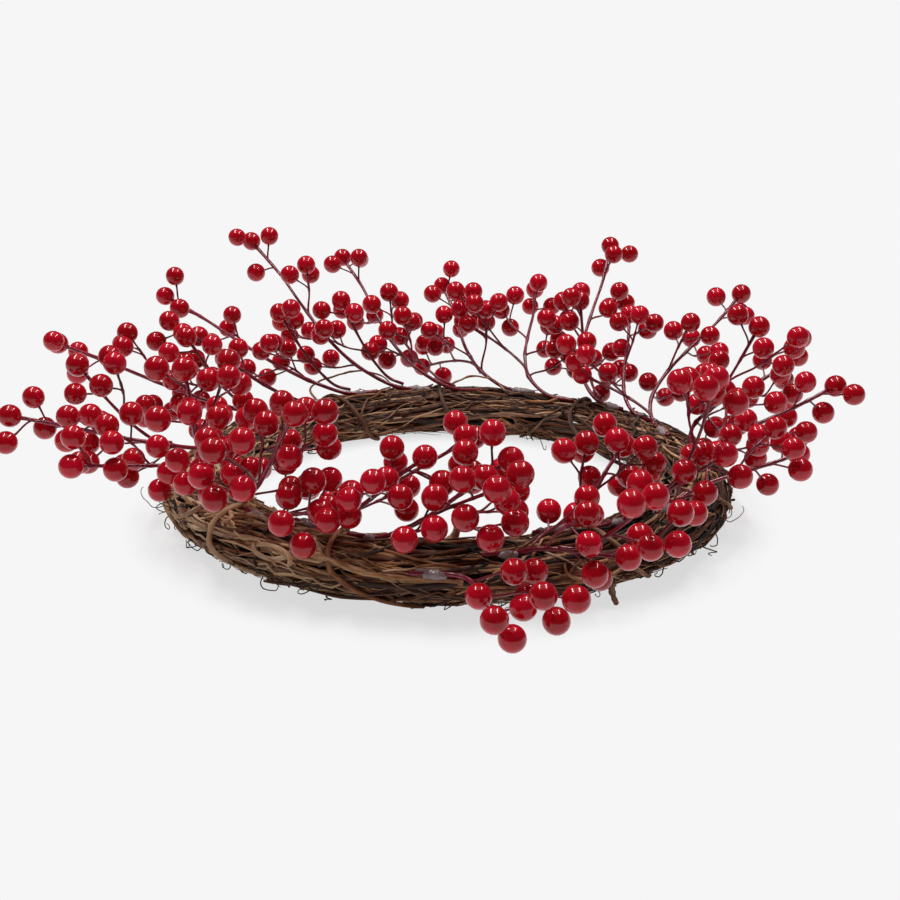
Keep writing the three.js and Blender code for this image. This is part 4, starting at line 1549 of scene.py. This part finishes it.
    def main_stem(self, spray: Spray) -> Wire:
        """Lays a stem: a foot along the ring, then a cubic curve that rises to the spray's tip.

        Args:
            spray: Where it lies and reaches.

        Returns:
            The stem.
        """
        bundle, seat = self.bundle, spray.seat * DEGREE
        foot_turn = self.foot_length / bundle.circle
        flat = self.stem_diameters[0] / 2 * Kind.STEM.flat
        offset = bundle.seat(seat) - bundle.clearance + self.foot_gap + flat
        foot = [bundle.place(spray.foot * DEGREE + foot_turn * n / 2, seat, offset) for n in range(3)]
        leave, tip_out = foot[-1], bundle.ring_diameter / 2 + spray.reach * self.spray_span
        turn = spray.tip * DEGREE
        height = bundle.top + spray.rise * self.spray_span
        tip = np.array([tip_out * math.cos(turn), tip_out * math.sin(turn), height])
        span = np.linalg.norm(tip - leave)
        outward = bundle.outward(spray.foot * DEGREE + foot_turn, seat)
        heading = unit(unit(leave - foot[1]) + outward * 0.25)
        first = leave + heading * span * 0.35
        second = tip - unit(tip - leave) * span * 0.3
        path = foot + [
            leave * (1 - t) ** 3 + 3 * first * t * (1 - t) ** 2 + 3 * second * t**2 * (1 - t) + tip * t**3
            for t in (0.2, 0.4, 0.6, 0.8, 1.0)
        ]
        up = bundle.outward(spray.foot * DEGREE, seat)
        return Wire(self.rods, path, self.stem_diameters, up, Kind.STEM)

    def side_branch(self, stem: Wire, roll: float) -> Wire | None:
        """Lays a side branch: taped beside its stem, then a square curve away, the first clear way.

        Args:
            stem: The stem.
            roll: The side of it that is wanted.

        Returns:
            The branch, or None where there is no room.
        """
        segment, _ = stem.segment_at(self.foot_length + self.branch_start)
        overlap = min(0.7, self.branch_overlap / stem.lengths[segment]) * stem.lengths[segment]
        half = self.branch_diameters[0] / 2
        beside = half * Kind.BRANCH.flat + self.bundle.clearance
        ball = self.berry_diameter / 2 * self.faceted_berry
        clear = self.rods.clear
        for face, tilt, stretch in self.tries(stem, segment, self.branch_share, roll, (36, 48, 60, 24)):
            start = face.root + face.normal * beside
            leave = start + face.heading * overlap
            way = face.heading * math.cos(tilt) + face.normal * math.sin(tilt)
            reach = self.branch_length * stretch
            bend = leave + face.heading * reach * 0.3 + face.normal * reach * 0.08
            end = leave + way * reach
            curve = [
                leave * (1 - t) ** 2 + 2 * bend * t * (1 - t) + end * t**2 for t in (0, 1 / 3, 2 / 3, 1)
            ]
            beyond = end + way * self.berry_diameter / 2
            befores = [curve[0] * 0.7 + curve[1] * 0.3, curve[1], curve[2]]
            if (
                all(
                    self.clear_of_ring(point, 2 * half) and clear(before, point, half)
                    for before, point in zip(befores, curve[1:])
                )
                and self.clear_of_ring(beyond, ball)
                and clear(start, leave, half, stem.number)
                and clear(beyond, beyond, ball * (1 + self.berry_spread))
            ):
                stem.outlets.append((face, None))
                path = [start, *curve]
                return Wire(self.rods, path, self.branch_diameters, -face.normal, Kind.BRANCH)
        return None

    def grow_cluster(self, wire: Wire, count: int, roll: float) -> None:
        """Grows a cluster near a wire's tip, each berry a golden angle on from the last.

        Args:
            wire: The wire.
            count: Number of berries.
            roll: The side of the first one.
        """
        for n in range(count):
            length = wire.length - self.tip_berry_spacing * (n + 0.6)
            self.grow_stalk(wire, length, roll + GOLDEN_ANGLE * n, self.size(roll + n))

    def grow_all(self) -> list[tuple[Wire, Wire | None]]:
        """Grows stems, then branches, then berries and twigs.

        Returns:
            Each stem, and its branch or None.
        """
        stems = []
        for i, spray in enumerate(SPRAYS):
            stems.append(self.main_stem(spray))
            stems[-1].bear(self.berry_diameter / 2 * self.size(i), self.faceted_berry)
        branches = []
        for i, (spray, stem) in enumerate(zip(SPRAYS, stems)):
            branch = None if spray.roll is None else self.side_branch(stem, spray.roll)
            if branch:
                branch.bear(self.berry_diameter / 2 * self.size(i + 0.5), self.faceted_berry)
            branches.append(branch)
        for i, stem in enumerate(stems):
            self.grow_cluster(stem, 3, GOLDEN_ANGLE * i)
        for i, branch in enumerate(branches):
            if branch:
                self.grow_cluster(branch, 2, GOLDEN_ANGLE * i + 60)
        for i, (stem, branch) in enumerate(zip(stems, branches)):
            turn = GOLDEN_ANGLE * i
            self.grow_twig(stem, stem.length * 0.62, turn + 80, self.size(i + 0.2))
            if branch:
                self.grow_twig(branch, branch.length * 0.5, turn + 200, self.size(i + 0.4))
            self.grow_twig(stem, stem.length * 0.44, turn + 260, self.size(i + 0.6))
            if branch:
                self.grow_twig(stem, stem.length * 0.3, turn + 40, self.size(i + 0.8))
        return list(zip(stems, branches))

    def skin(
        self,
        wires: Shell,
        berries: list[tuple],
        wire: Wire,
        start: np.ndarray | None = None,
        way: np.ndarray | None = None,
    ) -> None:
        """Adds a wire as a smooth round tube, then all that leaves it, and notes its berry.

        The radii sway a little, with a bell at each outlet and a wider end.

        Args:
            wires: The spray's tubes.
            berries: The spray's berries so far.
            wire: The wire.
            start: Where it starts inside the wire that carries it, or None if it starts by itself.
            way: Direction that it sets out in there.
        """
        samples = wire.kind.samples
        corners = wire.path.copy()
        if start is not None:
            corners[0] = start
        curve = flow(corners, samples, way)
        count = len(curve)
        radii = np.interp(np.linspace(0, 1, count), np.linspace(0, 1, len(wire.radii)), wire.radii)
        radii = radii * (1 + 0.06 * sway(count, count / 7, self.rng))
        places = [(face.segment + face.share) * samples for face, _ in wire.outlets]
        for (_, child), place in zip(wire.outlets, places):
            rise = self.joint_rise if child else self.taped_rise
            radii = radii + rise * bell(count, place, self.rise_width)
        if start is not None:
            radii[0] *= self.root_flare
        radii[-1] = radii[-1] * self.end_flare
        reference = unit(np.cross(corners[-1] - corners[0], Shell.SKEW))
        wires.tube(curve, radii, reference, wire.kind.round_sides, self.rng.uniform(0.3, 0.7))
        if wire.berry:
            berries.append(wire.berry)
        for (_, child), place in zip(wire.outlets, places):
            if child:
                at = max(0.0, place - 0.4)
                whole = min(int(at), count - 2)
                step = curve[whole + 1] - curve[whole]
                root = curve[whole] + step * (at - whole)
                toward = unit(step) * 0.8 + unit(child.path[-1] - root) * 0.6
                self.skin(wires, berries, child, root, toward)

    def build(self, tape: bpy.types.Material, lacquer: bpy.types.Material) -> None:
        """Makes each spray's wires and berries, which stand for its stem and branch solids.

        A berry is larger than its solid by its coat of lacquer.

        Args:
            tape: Finish of the wires.
            lacquer: Finish of the berries.
        """
        for i, (stem, branch) in enumerate(self.grown):
            name = f"spray_{i + 1:02d}"
            wires, berries, balls, nodes = Shell(), Shell(), [], [f"{name}_stem"]
            self.skin(wires, balls, stem)
            if branch:
                self.skin(wires, balls, branch)
                nodes.append(f"{name}_branch")
            centres, headings, radii = (np.array(values) for values in zip(*balls))
            tones = self.rng.uniform(0.15, 0.85, len(balls))
            berries.balls(centres, headings, radii + self.lacquer_coat, tones)
            wires.piece(f"{name}_wires", tape, Slot.BERRY)
            berries.piece(f"{name}_berries", lacquer, Slot.BERRY, *nodes)

    def glue(self, melt: bpy.types.Material) -> None:
        """Makes the glue at the feet: domes along the wire, large ones at every other foot.

        Args:
            melt: Its finish.
        """
        shell = Shell()
        count = 15
        t = np.linspace(-1, 1, count)
        for i, (stem, _) in enumerate(self.grown):
            middle, along, up = stem.path[1], unit(stem.path[2] - stem.path[0]), stem.ups[0]
            for lean in (-1.0, 0.2, 0.9) if i % 2 else (0.6,):
                half = self.rng.uniform(3.0, 6.5)
                aside = np.cross(along, up) * lean * 1.1 - up * self.rng.uniform(0.1, 0.9)
                path = middle + along * (half * t + 3.5 * lean + 2)[:, None] + aside
                radii = self.rng.uniform(1.6, 2.6) * np.sqrt(1.03 - t**2)
                radii = radii * (1 + 0.16 * sway(count, 1.6, self.rng))
                shell.tube(path, radii, up, 12, 0.5)
        shell.piece("glue_drops", melt, Slot.BINDING)


# The studio


@dataclass(frozen=True)
class Lamp:
    """A lamp: where it hangs and its size across and from front to back, in metres, and its watts."""

    name: str
    place: Point
    size: Range
    power: float
    mirrored: bool = True


@dataclass(frozen=True)
class Studio:
    """A pale floor that turns up into a low wall far off, the lamps and the camera, in metres.

    The camera stands as the photograph's did. Two windows above make the sharp spots on each
    berry, and a ceiling the soft shine round them. A broad dim lamp in front makes up for the
    room, whose walls don't mirror.
    """

    camera_place: Point = (0.005, -0.7446, 0.2696)
    camera_target: Point = (0.005, -0.023, 0.031)
    lens: float = 56.0
    sensor: float = 36.0
    white: str = "#f6f6f6"
    card: str = "#f4f4f4"
    room: float = 0.05
    floor_radius: float = 30.0
    floor_sides: int = 64
    wall_height: float = 4.0
    shadow_circle: float = 0.142
    shadow_reach: Range = (0.012, 0.038)
    shadow_share: float = 0.73
    mirror_reach: Range = (0.2, 1.6)
    mirror_share: float = 0.15
    lamps: tuple[Lamp, ...] = (
        Lamp("left_window", (-0.48, 0.3, 1.25), (0.13, 1.2), 11.0),
        Lamp("right_window", (0.46, 0.3, 1.25), (0.11, 1.1), 8.0),
        Lamp("ceiling", (0.0, 0.2, 1.5), (1.8, 1.6), 3.8),
        Lamp("front_fill", (-1.1, -0.9, 0.9), (1.6, 1.0), 1.2, mirrored=False),
    )

    def camera(self) -> None:
        """Makes the scene's camera."""
        data = bpy.data.cameras.new("camera")
        data.lens, data.sensor_width, data.sensor_fit = self.lens, self.sensor, "HORIZONTAL"
        data.clip_end = 200
        made = stand("camera", data)
        made.location = self.camera_place
        way = Vector(self.camera_target) - Vector(self.camera_place)
        made.rotation_euler = way.to_track_quat("-Z", "Y").to_euler()
        bpy.context.scene.camera = made

    def floor(self) -> None:
        """Makes the floor and wall: a flat, a quarter round and a rise, turned full circle."""
        bend = np.linspace(0, math.pi / 2, 9)
        round_size = self.wall_height / 2
        out = np.append(self.floor_radius - round_size * (1 - np.sin(bend)), self.floor_radius)
        up = np.append(round_size * (1 - np.cos(bend)), self.wall_height)
        sides = self.floor_sides
        turns = FULL_TURN * np.arange(sides) / sides
        rings = [np.outer(out, np.cos(turns)), np.outer(out, np.sin(turns))]
        rings.append(np.repeat(up[:, None], sides, axis=1))
        points = np.concatenate([np.stack(rings, -1).reshape(-1, 3), [[0.0, 0.0, 0.0]]])
        s = np.arange(sides)
        after = (s + 1) % sides
        rows = sides * np.arange(len(out) - 1)[:, None]
        quads = np.stack([rows + s, rows + sides + s, rows + sides + after, rows + after], -1)
        fan = np.stack([np.full(sides, len(points) - 1), s, after], -1)
        mesh = bpy.data.meshes.new("floor")
        mesh.from_pydata(points.tolist(), [], [*quads.reshape(-1, 4).tolist(), *fan.tolist()])
        mesh.materials.append(self.white_card())
        stand("floor", mesh)

    def white_card(self) -> bpy.types.Material:
        """Builds the floor's finish: card that takes the ring's shadow, and plain white further off.

        In the berries, the white fades with its distance from the wreath.

        Returns:
            The material.
        """
        material, tree, _ = blank("white_card")
        tree.nodes.clear()
        place = node(tree, "ShaderNodeTexCoord").outputs["Object"]
        middle = tuple(-RING_CENTRE * MILLIMETRE)
        centred = node(tree, "ShaderNodeMapping", {"Vector": place, "Location": middle})
        apart = node(tree, "ShaderNodeVectorMath", (centred,), operation="LENGTH").outputs["Value"]
        beside = node(tree, "ShaderNodeMath", (apart, self.shadow_circle), operation="SUBTRACT")
        off = node(tree, "ShaderNodeMath", (beside,), operation="ABSOLUTE")
        shaded = (off, *self.shadow_reach, self.shadow_share, 1.0)
        away = node(tree, "ShaderNodeMapRange", shaded, interpolation_type="SMOOTHSTEP")
        faded = (apart, *self.mirror_reach, 1.0, self.mirror_share)
        dimmed = node(tree, "ShaderNodeMapRange", faded, interpolation_type="SMOOTHSTEP")
        light = node(tree, "ShaderNodeLightPath").outputs
        mirrored = node(tree, "ShaderNodeMath", (light["Is Glossy Ray"], dimmed), operation="MULTIPLY")
        direct = node(tree, "ShaderNodeMath", (light["Is Camera Ray"], mirrored), operation="MAXIMUM")
        seen = node(tree, "ShaderNodeMath", (direct, light["Is Transmission Ray"]), operation="MAXIMUM")
        share = node(tree, "ShaderNodeMath", (seen, away), operation="MULTIPLY")
        card = node(tree, "ShaderNodeBsdfDiffuse", {"Color": linear(self.card)})
        glow = node(tree, "ShaderNodeEmission", {"Color": linear(self.white), "Strength": 1.0})
        mixed = node(tree, "ShaderNodeMixShader", (share, card, glow))
        node(tree, "ShaderNodeOutputMaterial", {"Surface": mixed})
        return material

    def light(self) -> None:
        """Makes the world's soft light and the lamps, each turned to the wreath."""
        world = bpy.data.worlds.new("studio")
        bpy.context.scene.world = world
        world.use_nodes = True
        tree = world.node_tree
        tree.nodes.clear()
        room = node(tree, "ShaderNodeBackground", {"Color": linear("#ffffff"), "Strength": self.room})
        node(tree, "ShaderNodeOutputWorld", {"Surface": room})
        for lamp in self.lamps:
            data = bpy.data.lights.new(lamp.name, "AREA")
            data.shape = "RECTANGLE"
            data.size, data.size_y = lamp.size
            data.energy = lamp.power
            made = stand(lamp.name, data)
            made.location = lamp.place
            away = Vector(lamp.place).normalized()
            across = Vector((0.0, 1.0, 0.0)).cross(away).normalized()
            made.rotation_euler = Matrix((across, away.cross(across), away)).transposed().to_euler()
            made.visible_glossy = lamp.mirrored

    def build(self) -> None:
        """Makes all of it, and sets the plain view transform."""
        bpy.context.scene.view_settings.view_transform = "Standard"
        self.camera()
        self.floor()
        self.light()


def main() -> None:
    """Builds the wreath's looks round its CAD frame."""
    logging.basicConfig(level=logging.INFO, format="%(message)s")
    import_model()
    Studio().build()
    bark = Bark().make()
    # Darker bark: the tendrils' own colour, and painted shade on the inner vines.
    dark_and_shaded_bark = Bark("dark_and_shaded_vine_bark", DARK_AND_SHADED_BROWNS).make()
    bundle = Bundle()
    ring = VineRing(bundle, [spray.foot for spray in SPRAYS])
    ring.wound_vines(bark)
    ring.inner_vines(dark_and_shaded_bark)
    ring.loose_vines(bark)
    ring.curled_vines(bark)
    ring.bindings(bark)
    ring.tendrils(dark_and_shaded_bark)
    ring.twigs(bark)
    sprays = BerrySprays(bundle)
    sprays.build(Wrap().make(), Lacquer().make())
    sprays.glue(HotGlue().make())


if __name__ == "__main__":
    main()
